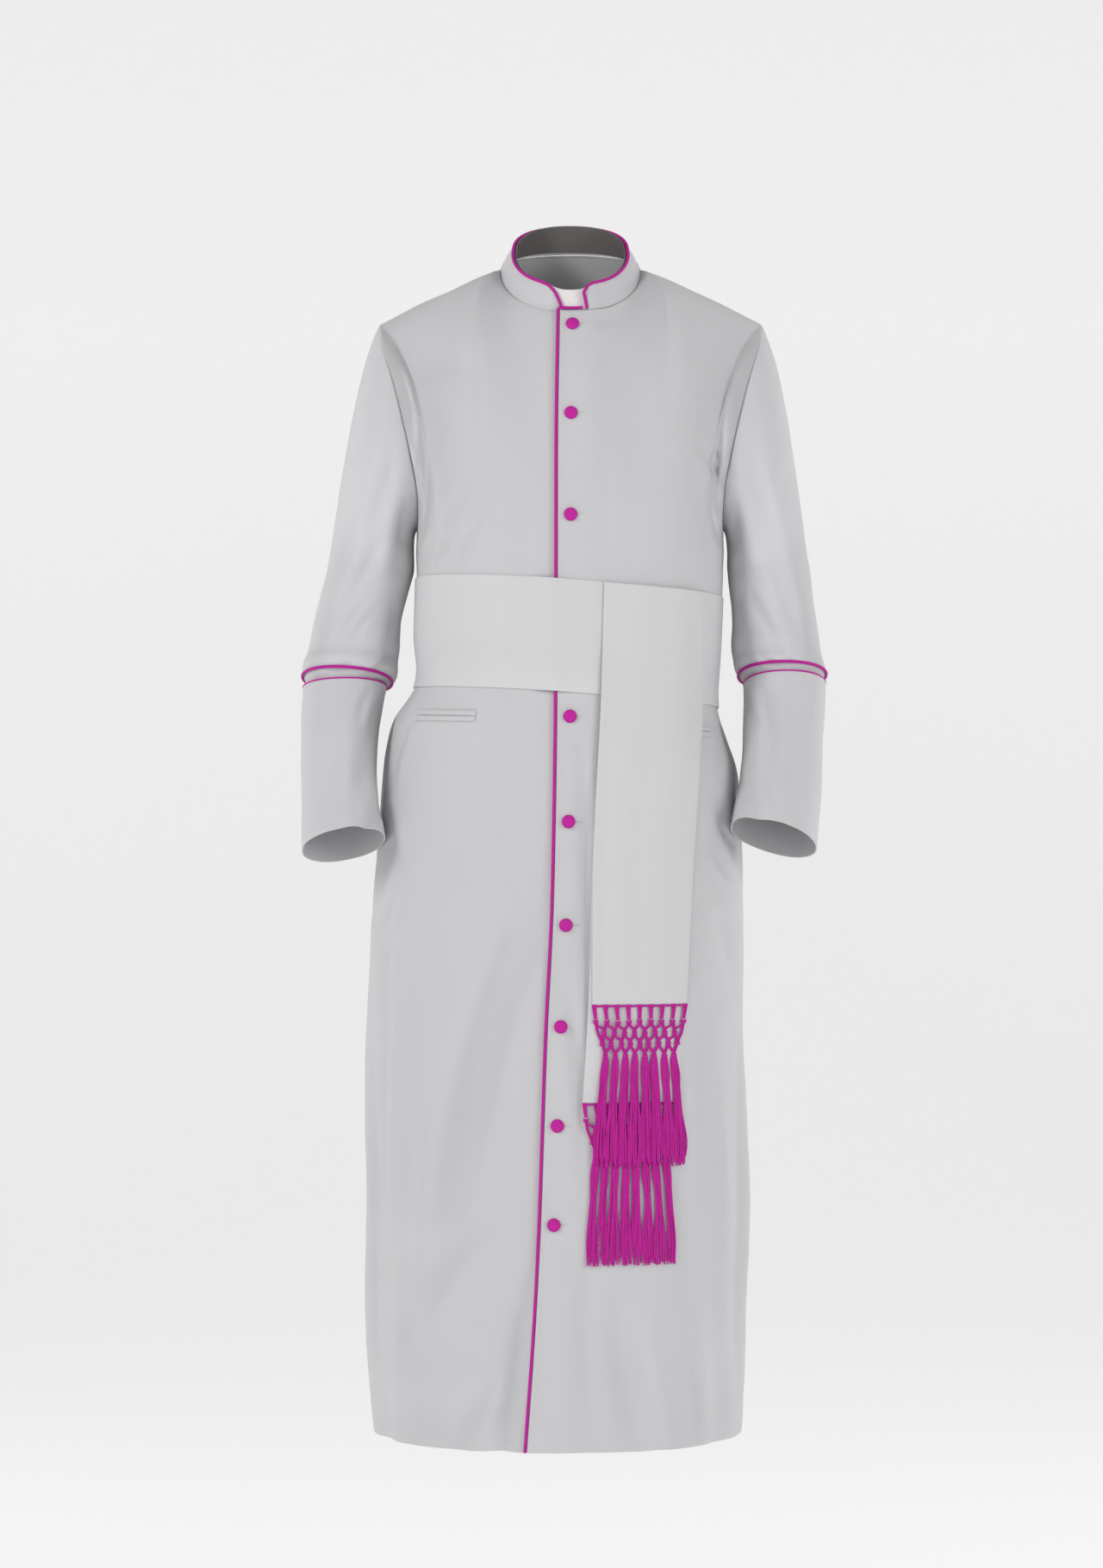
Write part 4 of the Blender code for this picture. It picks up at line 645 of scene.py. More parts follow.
def hermite(start, start_pull, end, end_pull, share):
    """Points at a share of the way along curves that leave and arrive as pulled."""
    square = share * share
    cube = square * share
    return ((2 * cube - 3 * square + 1) * start + (cube - 2 * square + share) * start_pull
            + (3 * square - 2 * cube) * end + (cube - square) * end_pull)


def ease(share):
    """Zero to one with a soft start and end."""
    share = np.clip(share, 0.0, 1.0)
    return share * share * (3 - 2 * share)


def unit(vectors):
    return vectors / np.maximum(np.linalg.norm(vectors, axis=-1, keepdims=True), 1e-12)


def stack(*parts):
    return np.stack(np.broadcast_arrays(*parts), axis=-1)


def superellipse(sine, cosine, half_width, depth, squareness):
    """Radius of a rounded outline in the direction that the sine and cosine give."""
    across = (np.abs(sine) / half_width) ** squareness
    along = (np.abs(cosine) / depth) ** squareness
    return (across + along) ** (-1 / squareness)


body_rings = Smooth(BODY_RINGS)
front_edge = Smooth(FRONT_EDGE)
shoulder_seam = Smooth(SHOULDER_SEAM)
armhole_front = Smooth(ARMHOLE_FRONT)
armhole_back = Smooth(ARMHOLE_BACK)
front_arrivals = Smooth(FRONT_ARRIVALS)
back_arrivals = Smooth(BACK_ARRIVALS)
cap_leaving = Smooth(CAP_LEAVING)


def level_of(height):
    """Level of a height on the skirt or the sash."""
    return (height - HEM) / (CHEST - HEM)


def height_of(level):
    return HEM + level * (CHEST - HEM)


fold_paths = [(Smooth([(row[0], row[1]), (row[2], row[3]), (row[4], row[5])]), row[0], row[4],
               row[6], row[7]) for row in FOLDS]


def fold_depth(station, height, radius):
    """How far the folds draw the skirt in at a place."""
    depth = np.zeros(np.broadcast(station, height).shape)
    for path, top, low, half_width, full_depth in fold_paths:
        turn = (station - path(height)[..., 0] + 180.0) % 360.0 - 180.0
        distance = np.abs(np.radians(turn) * radius) / half_width
        share = ease((top - height) / (0.55 * (top - HEM)))
        if low > HEM:
            share = share * ease((height - low) / (0.35 * (top - low)))
        inside = (height <= top) & (height >= low) & (distance < 1.0)
        depth = depth + np.where(inside, full_depth * share
                                 * np.cos(np.minimum(distance, 1.0) * pi / 2) ** 2, 0.0)
    return depth


def neck_point(turn, side=NECK_SIDE, front=NECK_FRONT, back=NECK_BACK, middle=0.0,
               height=NECK_HEIGHT, slope_front=NECK_SLOPE_FRONT, slope_back=NECK_SLOPE_BACK):
    """Points of the neckline, or of a loop like it: turn 0 front, 90 at +X, 180 back."""
    sine = np.sin(np.radians(turn))
    cosine = np.cos(np.radians(turn))
    depth = np.where(cosine >= 0, front + middle, back - middle)
    power = 2 / NECK_SQUARENESS
    x = side * np.sign(sine) * np.abs(sine) ** power
    y = middle - depth * np.sign(cosine) * np.abs(cosine) ** power
    bend = (y - np.sqrt(y * y + NECK_BEND * NECK_BEND)) / 2
    z = height + slope_back * y + (slope_front - slope_back) * bend
    return stack(x, y, z)


def slowed(reach):
    """Slow the run along the top edge at the neck's corner, so that no crease starts there."""
    neck = reach / NECK_STATION
    neck = NECK_STATION * (neck + CORNER_SLOWING * neck * (1 - neck))
    seam = (reach - NECK_STATION) / (TIP_STATION - NECK_STATION)
    seam = seam - CORNER_SLOWING * seam * (1 - seam) ** 2
    seam = NECK_STATION + (TIP_STATION - NECK_STATION) * seam
    return np.where(reach <= NECK_STATION, neck, np.where(reach <= TIP_STATION, seam, reach))


def top_edge(station):
    """Points of the top edge, and the pulls with which the cloth arrives there."""
    station = np.asarray(station, dtype=float)
    side = np.where(station % 360.0 <= 180.0, 1.0, -1.0)
    turn = np.abs((station + 180.0) % 360.0 - 180.0)
    at_back = turn > 90.0
    reach = slowed(np.where(at_back, 180.0 - turn, turn))
    around = np.minimum(reach, NECK_STATION) * 90.0 / NECK_STATION
    neck = neck_point(np.where(at_back, 180.0 - around, around))
    hole = np.where(at_back[..., None], armhole_back(reach), armhole_front(reach))
    point = np.where((reach <= TIP_STATION)[..., None], shoulder_seam(reach), hole)
    point = np.where((reach <= NECK_STATION)[..., None], neck, point)
    arrival = np.where(at_back[..., None], back_arrivals(reach), front_arrivals(reach))
    arrival = arrival * stack(side, np.where(at_back, -1.0, 1.0), 1.0)
    return point * stack(side, 1.0, 1.0), arrival


def ring_point(station, height):
    """Points of the skirt or waist, below the chest ring."""
    tilt, left, right, front, back, squareness = np.moveaxis(body_rings(height), -1, 0)
    sine = np.sin(np.radians(station))
    cosine = np.cos(np.radians(station))
    half_width = np.where(sine >= 0, right, left)
    depth = np.where(cosine >= 0, front, back)
    radius = superellipse(sine, cosine, half_width, depth, squareness)
    radius = radius - fold_depth(station, height, radius)
    z = height + tilt * (TILT_ACROSS * sine + TILT_FORWARD * cosine)
    return stack(radius * sine, -radius * cosine, z)


def body_point(station, level):
    """Points of the outside of the robe's body, without its creases."""
    station, level = np.broadcast_arrays(np.asarray(station, float), np.asarray(level, float))
    low = ring_point(station, height_of(np.minimum(level, 1.0)))
    start = ring_point(station, np.full(station.shape, CHEST))
    end, arrival = top_edge(station)
    reach = np.linalg.norm(end - start, axis=-1, keepdims=True)
    rise = np.clip(level - 1.0, 0.0, 1.0)[..., None]
    high = hermite(start, reach * np.array([0.0, 0.0, 1.0]), end, arrival * reach, rise)
    return np.where((level <= 1.0)[..., None], low, high)


def body_normal(station, level):
    """Directions straight out of the cloth."""
    around = body_point(station + 0.5, level) - body_point(station - 0.5, level)
    upper = np.minimum(level + 0.004, 2.0)
    along = body_point(station, upper) - body_point(station, upper - 0.008)
    return unit(np.cross(around, along))


def bisect(low, high, is_short):
    """Values between low and high where is_short turns false."""
    for _ in range(26):
        middle = (low + high) / 2
        short = is_short(middle)
        low = np.where(short, middle, low)
        high = np.where(short, high, middle)
    return (low + high) / 2


def station_at(x, level):
    """Stations on the front half where the body has a given x."""
    x, level = np.broadcast_arrays(np.asarray(x, float), np.asarray(level, float))
    return bisect(np.full(x.shape, -60.0), np.full(x.shape, 70.0),
                  lambda station: body_point(station, level)[..., 0] < x)


def edge_at(height):
    """Where the lapping front's edge is at heights."""
    return front_edge(height)[..., 0]


def edge_station(level, beyond=0.0):
    """Stations of the lapping front's edge, or of a line beyond it, at levels."""
    level = np.asarray(level, float)
    station = np.zeros(level.shape)
    for _ in range(3):
        height = body_point(station, level)[..., 2]
        station = station_at(edge_at(height) + beyond, level)
    return station


def level_at_height(height):
    """Levels above the chest ring where the centre front has given heights."""
    centre = np.zeros(np.shape(height))
    return bisect(centre + 1.0, centre + 2.0,
                  lambda level: body_point(centre, level)[..., 2] < height)


def front_level(height):
    """Levels of heights on the centre front, skirt and chest alike."""
    height = np.asarray(height, float)
    return np.where(height <= CHEST, level_of(height), level_at_height(height))


def lap_lift(x, height):
    """How far the lapping front stands out where it lies on the other."""
    return LAP_LIFT * (1 - ease((x - edge_at(height) - LAP) / LAP_FADE))


def crease_shift(places, rows, scale=CREASE_SCALE):
    """How far rows of creases move the cloth out at places drawn on one face."""
    shift = np.zeros(places.shape[:-1])
    for row in rows:
        points = np.array(row[:6]).reshape(3, 2)
        half_width, depth, bank = row[6:]
        steepest = STEEPEST_CREASE * half_width
        depth = float(np.clip(depth * scale, -steepest, steepest))
        curve = Smooth([(index, *point) for index, point in enumerate(points)])(
            np.linspace(0, 2, 13))
        reach = CREASE_REACH * half_width
        near = np.all((places > curve.min(0) - reach) & (places < curve.max(0) + reach), axis=-1)
        if not near.any():
            continue
        spots = places[near]
        best = np.full(len(spots), 1e9)
        signed = np.zeros(len(spots))
        along = np.zeros(len(spots))
        for index, (start, end) in enumerate(zip(curve[:-1], curve[1:])):
            span = end - start
            share = np.clip((spots - start) @ span / (span @ span), 0, 1)
            gap = spots - start - share[:, None] * span
            distance = np.linalg.norm(gap, axis=-1)
            closer = distance < best
            best = np.where(closer, distance, best)
            side = np.sign(span[0] * gap[:, 1] - span[1] * gap[:, 0])
            signed = np.where(closer, distance * side, signed)
            along = np.where(closer, (index + share) / (len(curve) - 1), along)
        reach = signed / half_width
        profile = -np.exp(-1.6 * reach ** 2) + bank * np.exp(-1.6 * (reach - 1.5) ** 2)
        fade = np.sin(pi * np.clip(along, 0.0, 1.0)) ** 0.7
        shift[near] += depth * profile * fade
    return shift


def waves(points, seed, amplitude, shortest, longest, count=14):
    """Gentle unevenness of cloth: a sum of waves in directions drawn from a seed."""
    random = np.random.default_rng(seed)
    total = np.zeros(points.shape[:-1])
    for _ in range(count):
        direction = unit(random.normal(size=3) * (1.0, 1.0, 0.45))
        length = shortest * (longest / shortest) ** random.random()
        phase = random.random() * 2 * pi
        total += np.sin(points @ direction * 2 * pi / length + phase) * length / longest
    return total * amplitude / np.sqrt(count)


def facing_front(normals):
    """One where the cloth faces forwards, and zero where it faces sideways or back."""
    return ease((-normals[..., 1] - 0.05) / 0.3)


def between(values, low, high, blur):
    """One well between two values, and zero beyond them."""
    return ease((values - low) / blur) * ease((high - values) / blur)


def body_relief(points, normals):
    """Creases and unevenness of the robe's body, faded out under the sash and the collar."""
    front = facing_front(normals)
    side = ease((np.abs(normals[..., 0]) - 0.55) / 0.3)
    relief = crease_shift(points[..., [0, 2]], FRONT_CREASES) * front
    relief += crease_shift(points[..., [0, 2]], BACK_CREASES) * facing_front(-normals)
    relief += crease_shift(points[..., [1, 2]], SIDE_CREASES) * side
    relief += waves(points, 5, *BODY_WAVES)
    height = points[..., 2]
    tail = (between(points[..., 0], *UNDER_TAILS) * ease((height - TAILS_FOOT) / 0.02) * front)
    relief = np.where(relief > 0, relief * (1 - tail), relief)
    neck = ease((height + 0.075) / 0.06) * ease((0.13 - np.abs(points[..., 0])) / 0.03)
    return relief * (1 - between(height, *UNDER_SASH)) * (1 - neck)


def robe_surface(station, level, lift=0.0, lapped=True, creased=True):
    """Points and normals of the robe as it shows, moved out by lift."""
    station, level = np.broadcast_arrays(np.asarray(station, float), np.asarray(level, float))
    points = body_point(station, level)
    normals = body_normal(station, level)
    raised = np.zeros(station.shape) + lift
    if lapped:
        turn = np.abs((station + 180.0) % 360.0 - 180.0)
        on_lap = (points[..., 0] >= edge_at(points[..., 2]) - 1e-5) & (turn < 90)
        raised = raised + np.where(on_lap, lap_lift(points[..., 0], points[..., 2]), 0.0)
    if creased:
        raised = raised + body_relief(points, normals)
    return points + normals * raised[..., None], normals


# Materials


def shader_nodes(name, roughness, sheen=0.0):
    material = bpy.data.materials.new(name)
    material.use_nodes = True
    tree = material.node_tree
    shader = tree.nodes["Principled BSDF"]
    shader.inputs["Roughness"].default_value = roughness
    shader.inputs["Sheen Weight"].default_value = sheen
    shader.inputs["Sheen Roughness"].default_value = 0.4
    shader.inputs["Specular IOR Level"].default_value = 0.3
    return material, tree, shader


def link(tree, source, target):
    tree.links.new(source, target)


def add_node(tree, kind, **inputs):
    made = tree.nodes.new(kind)
    for key, value in inputs.items():
        made.inputs[key.replace("_", " ")].default_value = value
    return made


def math_node(tree, operation, first, second=None):
    made = tree.nodes.new("ShaderNodeMath")
    made.operation = operation
    for slot, value in enumerate((first, second)):
        if value is None:
            continue
        if isinstance(value, (int, float)):
            made.inputs[slot].default_value = value
        else:
            link(tree, value, made.inputs[slot])
    return made.outputs[0]


def colour_mix(tree, factor, first, second):
    made = tree.nodes.new("ShaderNodeMix")
    made.data_type = "RGBA"
    link(tree, factor, made.inputs[0])
    for slot, value in ((6, first), (7, second)):
        if isinstance(value, tuple):
            made.inputs[slot].default_value = (*value, 1)
        else:
            link(tree, value, made.inputs[slot])
    return made.outputs[2]


def twill_height(tree, pitch, slant=1.0):
    """Height of a twill: diagonal ribs crossed by the threads, from coordinates in metres."""
    coordinates = tree.nodes.new("ShaderNodeUVMap")
    coordinates.uv_map = "weave"
    split = tree.nodes.new("ShaderNodeSeparateXYZ")
    link(tree, coordinates.outputs[0], split.inputs[0])
    across = math_node(tree, "MULTIPLY", split.outputs[0], 2 * pi / pitch)
    along = math_node(tree, "MULTIPLY", split.outputs[1], 2 * pi / pitch * slant)
    rib = math_node(tree, "SINE", math_node(tree, "ADD", across, along))
    thread = math_node(tree, "SINE", math_node(tree, "MULTIPLY", along, 2.0))
    return math_node(tree, "ADD", rib, math_node(tree, "MULTIPLY", thread, 0.4)), coordinates


def bump(tree, shader, height, distance, strength=1.0):
    made = add_node(tree, "ShaderNodeBump", Strength=strength, Distance=distance)
    link(tree, height, made.inputs["Height"])
    link(tree, made.outputs[0], shader.inputs["Normal"])
    return made


def cloth_material(name, light, shade, pitch, roughness=0.9, sheen=0.12, depth=0.00012,
                   cloud_scale=9.0, nap=0.35):
    """Woven cloth: twill ribs, slubs in the yarn, faint clouds in its colour and painted shade in
    the rib grooves.
    """
    material, tree, shader = shader_nodes(name, roughness, sheen)
    weave, coordinates = twill_height(tree, pitch)
    slubs = add_node(tree, "ShaderNodeTexNoise", Scale=1.0, Detail=3.0, Roughness=0.6)
    stretch = tree.nodes.new("ShaderNodeMapping")
    stretch.inputs["Scale"].default_value = (120.0, 1400.0, 1.0)
    link(tree, coordinates.outputs[0], stretch.inputs[0])
    link(tree, stretch.outputs[0], slubs.inputs["Vector"])
    place = tree.nodes.new("ShaderNodeTexCoord")
    clouds = add_node(tree, "ShaderNodeTexNoise", Scale=cloud_scale, Detail=4.0, Roughness=0.55)
    link(tree, place.outputs["Object"], clouds.inputs["Vector"])
    fuzz = add_node(tree, "ShaderNodeTexNoise", Scale=900.0, Detail=2.0, Roughness=0.7)
    link(tree, place.outputs["Object"], fuzz.inputs["Vector"])
    # painted shade: the colour is darker in the grooves between the twill's ribs
    painted_groove_shade = math_node(tree, "MULTIPLY_ADD", weave, 0.12)
    painted_groove_shade.node.inputs[2].default_value = 0.5
    # the colour mixes random tone from clouds and slubs with that painted groove shade
    tone_and_groove_shade = math_node(tree, "ADD", math_node(tree, "MULTIPLY", clouds.outputs[0], 0.75),
                     math_node(tree, "MULTIPLY", slubs.outputs[0], 0.25))
    tone_and_groove_shade = math_node(tree, "ADD", math_node(tree, "MULTIPLY", tone_and_groove_shade, 0.7),
                     math_node(tree, "MULTIPLY", painted_groove_shade, 0.3))
    link(tree, colour_mix(tree, tone_and_groove_shade, shade, light), shader.inputs["Base Color"])
    height = math_node(tree, "ADD", weave, math_node(tree, "MULTIPLY", slubs.outputs[0], 1.6))
    height = math_node(tree, "ADD", height, math_node(tree, "MULTIPLY", fuzz.outputs[0], nap))
    bump(tree, shader, height, depth, 0.8)
    rough = add_node(tree, "ShaderNodeMapRange")
    rough.inputs["To Min"].default_value = roughness - 0.06
    rough.inputs["To Max"].default_value = min(roughness + 0.05, 1.0)
    link(tree, slubs.outputs[0], rough.inputs["Value"])
    link(tree, rough.outputs[0], shader.inputs["Roughness"])
    return material


def cord_material(name, light, shade, pitch, slant, depth, roughness, sheen):
    """Twisted or bias-wound thread: slanting ribs round a cord, with uneven dye and painted shade
    in the rib grooves.
    """
    material, tree, shader = shader_nodes(name, roughness, sheen)
    weave, _ = twill_height(tree, pitch, slant)
    place = tree.nodes.new("ShaderNodeTexCoord")
    streaks = add_node(tree, "ShaderNodeTexNoise", Scale=1.0, Detail=3.0, Roughness=0.6)
    stretch = tree.nodes.new("ShaderNodeMapping")
    stretch.inputs["Scale"].default_value = (700.0, 700.0, 60.0)
    link(tree, place.outputs["Object"], stretch.inputs[0])
    link(tree, stretch.outputs[0], streaks.inputs["Vector"])
    # painted shade: the colour is darker in the grooves between the slanting ribs
    painted_groove_shade = math_node(tree, "MULTIPLY_ADD", weave, 0.3)
    painted_groove_shade.node.inputs[2].default_value = 0.5
    # the colour mixes the random dye streaks with that painted groove shade
    tone_and_groove_shade = math_node(tree, "ADD", math_node(tree, "MULTIPLY", streaks.outputs[0], 0.6),
                     math_node(tree, "MULTIPLY", painted_groove_shade, 0.4))
    link(tree, colour_mix(tree, tone_and_groove_shade, shade, light), shader.inputs["Base Color"])
    bump(tree, shader, weave, depth, 0.9)
    return material


def plain_material(name, colour, roughness, grain_scale, grain_depth):
    material, tree, shader = shader_nodes(name, roughness)
    place = tree.nodes.new("ShaderNodeTexCoord")
    grain = add_node(tree, "ShaderNodeTexNoise", Scale=grain_scale, Detail=3.0, Roughness=0.5)
    link(tree, place.outputs["Object"], grain.inputs["Vector"])
    shade = tuple(value * 0.93 for value in colour)
    link(tree, colour_mix(tree, grain.outputs[0], shade, colour), shader.inputs["Base Color"])
    bump(tree, shader, grain.outputs[0], grain_depth, 0.5)
    return material


ROBE_CLOTH = cloth_material("robe_cloth", CLOTH_LIGHT, CLOTH_SHADE, TWILL_PITCH)
SASH_CLOTH = cloth_material("sash_cloth", SASH_LIGHT, SASH_SHADE, TWILL_PITCH * 0.7,
                            roughness=0.75, sheen=0.2, depth=0.00007)
BAND_CLOTH = cloth_material("band_cloth", BAND_LIGHT, BAND_SHADE, TWILL_PITCH)
PIPING_SATIN = cord_material("piping_satin", TRIM_LIGHT, TRIM_SHADE, 0.0011, 1.0, 0.00010,
                             0.6, 0.0)
BUTTON_SATIN = cord_material("button_satin", TRIM_LIGHT, TRIM_SHADE, 0.0009, 1.0, 0.00006,
                             0.62, 0.0)
FRINGE_THREAD = cord_material("fringe_thread", FRINGE_LIGHT, FRINGE_SHADE, 0.0016, 0.45,
                              0.00025, 0.8, 0.0)
TAB_PLASTIC = plain_material("tab_plastic", TAB_COLOUR, 0.45, 260.0, 0.00003)
STITCH_THREAD = plain_material("stitch_thread", CLOTH_LIGHT, 0.7, 1500.0, 0.00005)


# Meshes


def make_object(name, points, faces, material, uv=None):
    """A smooth mesh object; uv has a row for each corner of the faces."""
    mesh = bpy.data.meshes.new(name)
    mesh.from_pydata(np.asarray(points).reshape(-1, 3).tolist(), [], faces)
    if uv is not None:
        layer = mesh.uv_layers.new(name="weave")
        layer.data.foreach_set("uv", np.asarray(uv, dtype=np.float32).ravel())
    mesh.materials.append(material)
    mesh.shade_smooth()
    mesh.set_sharp_from_angle(angle=np.radians(50))
    item = bpy.data.objects.new(name, mesh)
    bpy.context.scene.collection.objects.link(item)
    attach(item, "root")
    return item


def grid_normals(points, closed=False):
    """Normals of a grid of points: across its columns, then up its rows."""
    if closed:
        across = np.roll(points, -1, axis=1) - np.roll(points, 1, axis=1)
    else:
        across = np.gradient(points, axis=1)
    return unit(np.cross(across, np.gradient(points, axis=0)))


def run_lengths(points, axis, closed=False):
    """Distance along each row or column of a grid from its start."""
    steps = np.linalg.norm(np.diff(points, axis=axis), axis=-1)
    if closed:
        last = np.linalg.norm(points[:, :1] - points[:, -1:], axis=-1)
        steps = np.concatenate([steps, last], axis=1)
    zero = np.zeros_like(np.take(steps, [0], axis=axis))
    return np.concatenate([zero, np.cumsum(steps, axis=axis)], axis=axis)


def shell(name, outer, thickness, material, replaces, axis=None, closed=False):
    """Cloth as a closed wall: the outer grid and an inner one beneath it."""
    rows, columns = outer.shape[:2]
    normals = grid_normals(outer, closed)
    if axis is None:
        centre = outer.mean(axis=1, keepdims=True)
    else:
        centre = stack(axis[0], axis[1], outer[..., 2])
    outward = np.sum(normals * (outer - centre))
    if outward < 0:
        normals = -normals
    inner = outer - normals * thickness
    spans = columns if closed else columns - 1
    row, column = np.meshgrid(np.arange(rows - 1), np.arange(spans), indexing="ij")
    a = row * columns + column
    b = row * columns + (column + 1) % columns
    quads = np.stack([a, b, b + columns, a + columns], axis=-1).reshape(-1, 4)
    width = spans + 1
    u = run_lengths(outer, 1, closed)
    v = run_lengths(outer, 0)
    if closed:
        v = np.concatenate([v, v[:, :1]], axis=1)
    uv = np.stack([u - u[:, :1], v], axis=-1).reshape(-1, 2)
    first = row * width + column
    corners = np.stack([first, first + 1, first + 1 + width, first + width],
                       axis=-1).reshape(-1, 4)
    offset = rows * columns
    if outward < 0:
        quads = quads[:, ::-1]
        corners = corners[:, ::-1]
    faces = np.concatenate([quads, quads[:, ::-1] + offset])
    places = np.concatenate([corners, corners[:, ::-1]])
    edges = []
    along = np.arange(spans)
    ahead = (along + 1) % columns
    last = (rows - 1) * columns
    edges.append(np.stack([ahead, along, along + offset, ahead + offset], axis=-1))
    edges.append(np.stack([last + along, last + ahead, last + ahead + offset,
                           last + along + offset], axis=-1))
    if not closed:
        up = np.arange(rows - 1) * columns
        edges.append(np.stack([up, up + columns, up + columns + offset, up + offset], axis=-1))
        up = up + columns - 1
        edges.append(np.stack([up + columns, up, up + offset, up + columns + offset], axis=-1))
    rims = np.concatenate(edges)
    if outward < 0:
        rims = rims[:, ::-1]
    rim_places = (rims % offset) // columns * width + (rims % offset) % columns
    faces = np.concatenate([faces, rims])
    places = np.concatenate([places, rim_places])
    points = np.concatenate([outer.reshape(-1, 3), inner.reshape(-1, 3)])
    item = make_object(name, points, faces.tolist(), material, uv[places.ravel()])
    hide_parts(*replaces)
    return item


def tube_grid(path, radius, sides, closed=False):
    """Rings of points round a path."""
    path = np.asarray(path, float)
    if closed:
        along = unit(np.roll(path, -1, axis=0) - np.roll(path, 1, axis=0))
    else:
        along = unit(np.gradient(path, axis=0))
    frames = []
    side = unit(np.cross(along[0], (0.31, 0.62, 0.72)))
    for direction in along:
        side = unit(side - direction * np.dot(side, direction))
        frames.append((side, np.cross(direction, side)))
    first = np.array([entry[0] for entry in frames])
    second = np.array([entry[1] for entry in frames])
    if closed:
        carried = unit(first[-1] - along[0] * np.dot(first[-1], along[0]))
        twist = np.arctan2(np.dot(np.cross(first[0], carried), along[0]),
                           np.dot(first[0], carried))
        angles = -twist * np.arange(len(path)) / len(path)
        turned = first * np.cos(angles)[:, None] + second * np.sin(angles)[:, None]
        second = second * np.cos(angles)[:, None] - first * np.sin(angles)[:, None]
        first = turned
    turn = np.arange(sides) * 2 * pi / sides
    radius = np.broadcast_to(np.asarray(radius, float), (len(path),))
    offsets = (first[:, None] * np.cos(turn)[None, :, None]
               + second[:, None] * np.sin(turn)[None, :, None])
    return path[:, None] + offsets * radius[:, None, None]


def tube_parts(path, radius, sides, closed=False):
    """Points, faces and corner coordinates of a tube with closed ends."""
    rings = tube_grid(path, radius, sides, closed)
    count = len(rings)
    spans = count if closed else count - 1
    row, column = np.meshgrid(np.arange(spans), np.arange(sides), indexing="ij")
    a = row * sides + column
    b = row * sides + (column + 1) % sides
    c = (row + 1) % count * sides + (column + 1) % sides
    d = (row + 1) % count * sides + column
    faces = np.stack([a, b, c, d], axis=-1).reshape(-1, 4)
    steps = np.linalg.norm(np.diff(np.concatenate([path, path[:1]]), axis=0), axis=-1)
    v = np.concatenate([[0], np.cumsum(steps)])[:spans + 1]
    size = float(np.mean(radius)) * 2 * pi / sides
    corners = ((0, 0), (1, 0), (1, 1), (0, 1))
    uv = np.stack([np.stack([(column + right) * size, v[row + up]], -1) for right, up in corners],
                  axis=2).reshape(-1, 2)
    points = rings.reshape(-1, 3)
    faces = faces.tolist()
    if not closed:
        ends = np.array([path[0], path[-1]])
        low = len(points)
        points = np.concatenate([points, ends])
        last = (count - 1) * sides
        for index in range(sides):
            following = (index + 1) % sides
            faces.append([following, index, low])
            faces.append([last + index, last + following, low + 1])
        uv = np.concatenate([uv, np.zeros((6 * sides, 2))])
    return points, faces, uv


def join_parts(parts):
    """One mesh's points, faces and coordinates from several."""
    points = []
    faces = []
    uvs = []
    offset = 0
    for part_points, part_faces, uv in parts:
        points.append(part_points)
        faces += [[index + offset for index in face] for face in part_faces]
        uvs.append(uv)
        offset += len(part_points)
    return np.concatenate(points), faces, np.concatenate(uvs)


def tube(name, path, radius, material, sides=14, closed=False):
    points, faces, uv = tube_parts(np.asarray(path, float), radius, sides, closed)
    return make_object(name, points, faces, material, uv)


def resample(path, step, closed=False):
    """Points an even step apart on a smooth curve through a path."""
    path = np.asarray(path, float)
    if closed:
        path = np.concatenate([path, path[:1]])
    lengths = np.concatenate([[0], np.cumsum(np.linalg.norm(np.diff(path, axis=0), axis=1))])
    count = max(int(lengths[-1] / step), 4)
    places = np.linspace(0, lengths[-1], count + 1)
    out = Smooth([(length, *point) for length, point in zip(lengths, path)])(places)
    return out[:-1] if closed else out


# Body panels


def rising(starts, ends, shares):
    """Stations between two runs of stations, for each row."""
    return starts[:, None] * (1 - shares) + ends[:, None] * shares


def level_rows():
    """Levels of the rows of a panel, closer together at its top edge."""
    skirt = np.arange(HEM, CHEST - STEP / 2, STEP)
    yoke = np.arange(0, YOKE_REACH - NEAR_EDGE[-1] - STEP / 2, STEP) / YOKE_REACH
    near = 1 - NEAR_EDGE[::-1] / YOKE_REACH
    return np.concatenate([level_of(skirt), 1 + yoke, 1 + near])


def columns_through(anchors, widths, near_first=False, near_last=False, step=STEP):
    """Stations of a panel's columns through anchor stations, closer at its ends."""
    parts = []
    for index, (start, end) in enumerate(zip(anchors[:-1], anchors[1:])):
        count = max(int(widths[index] / step), 2)
        shares = np.linspace(0, 1, count + 1)[:-1]
        parts.append(rising(start, end, shares))
    parts.append(anchors[-1][:, None])
    stations = np.concatenate(parts, axis=1)
    degrees_near = np.degrees(NEAR_EDGE[1:] / BODY_RADIUS)
    if near_first:
        extra = stations[:, :1] + degrees_near * np.sign(stations[:, 1:2] - stations[:, :1])
        stations = np.concatenate([stations[:, :1], extra, stations[:, 2:]], axis=1)
    if near_last:
        extra = stations[:, -1:] - degrees_near[::-1] * np.sign(stations[:, -1:]
                                                               - stations[:, -2:-1])
        stations = np.concatenate([stations[:, :-2], extra, stations[:, -1:]], axis=1)
    return stations


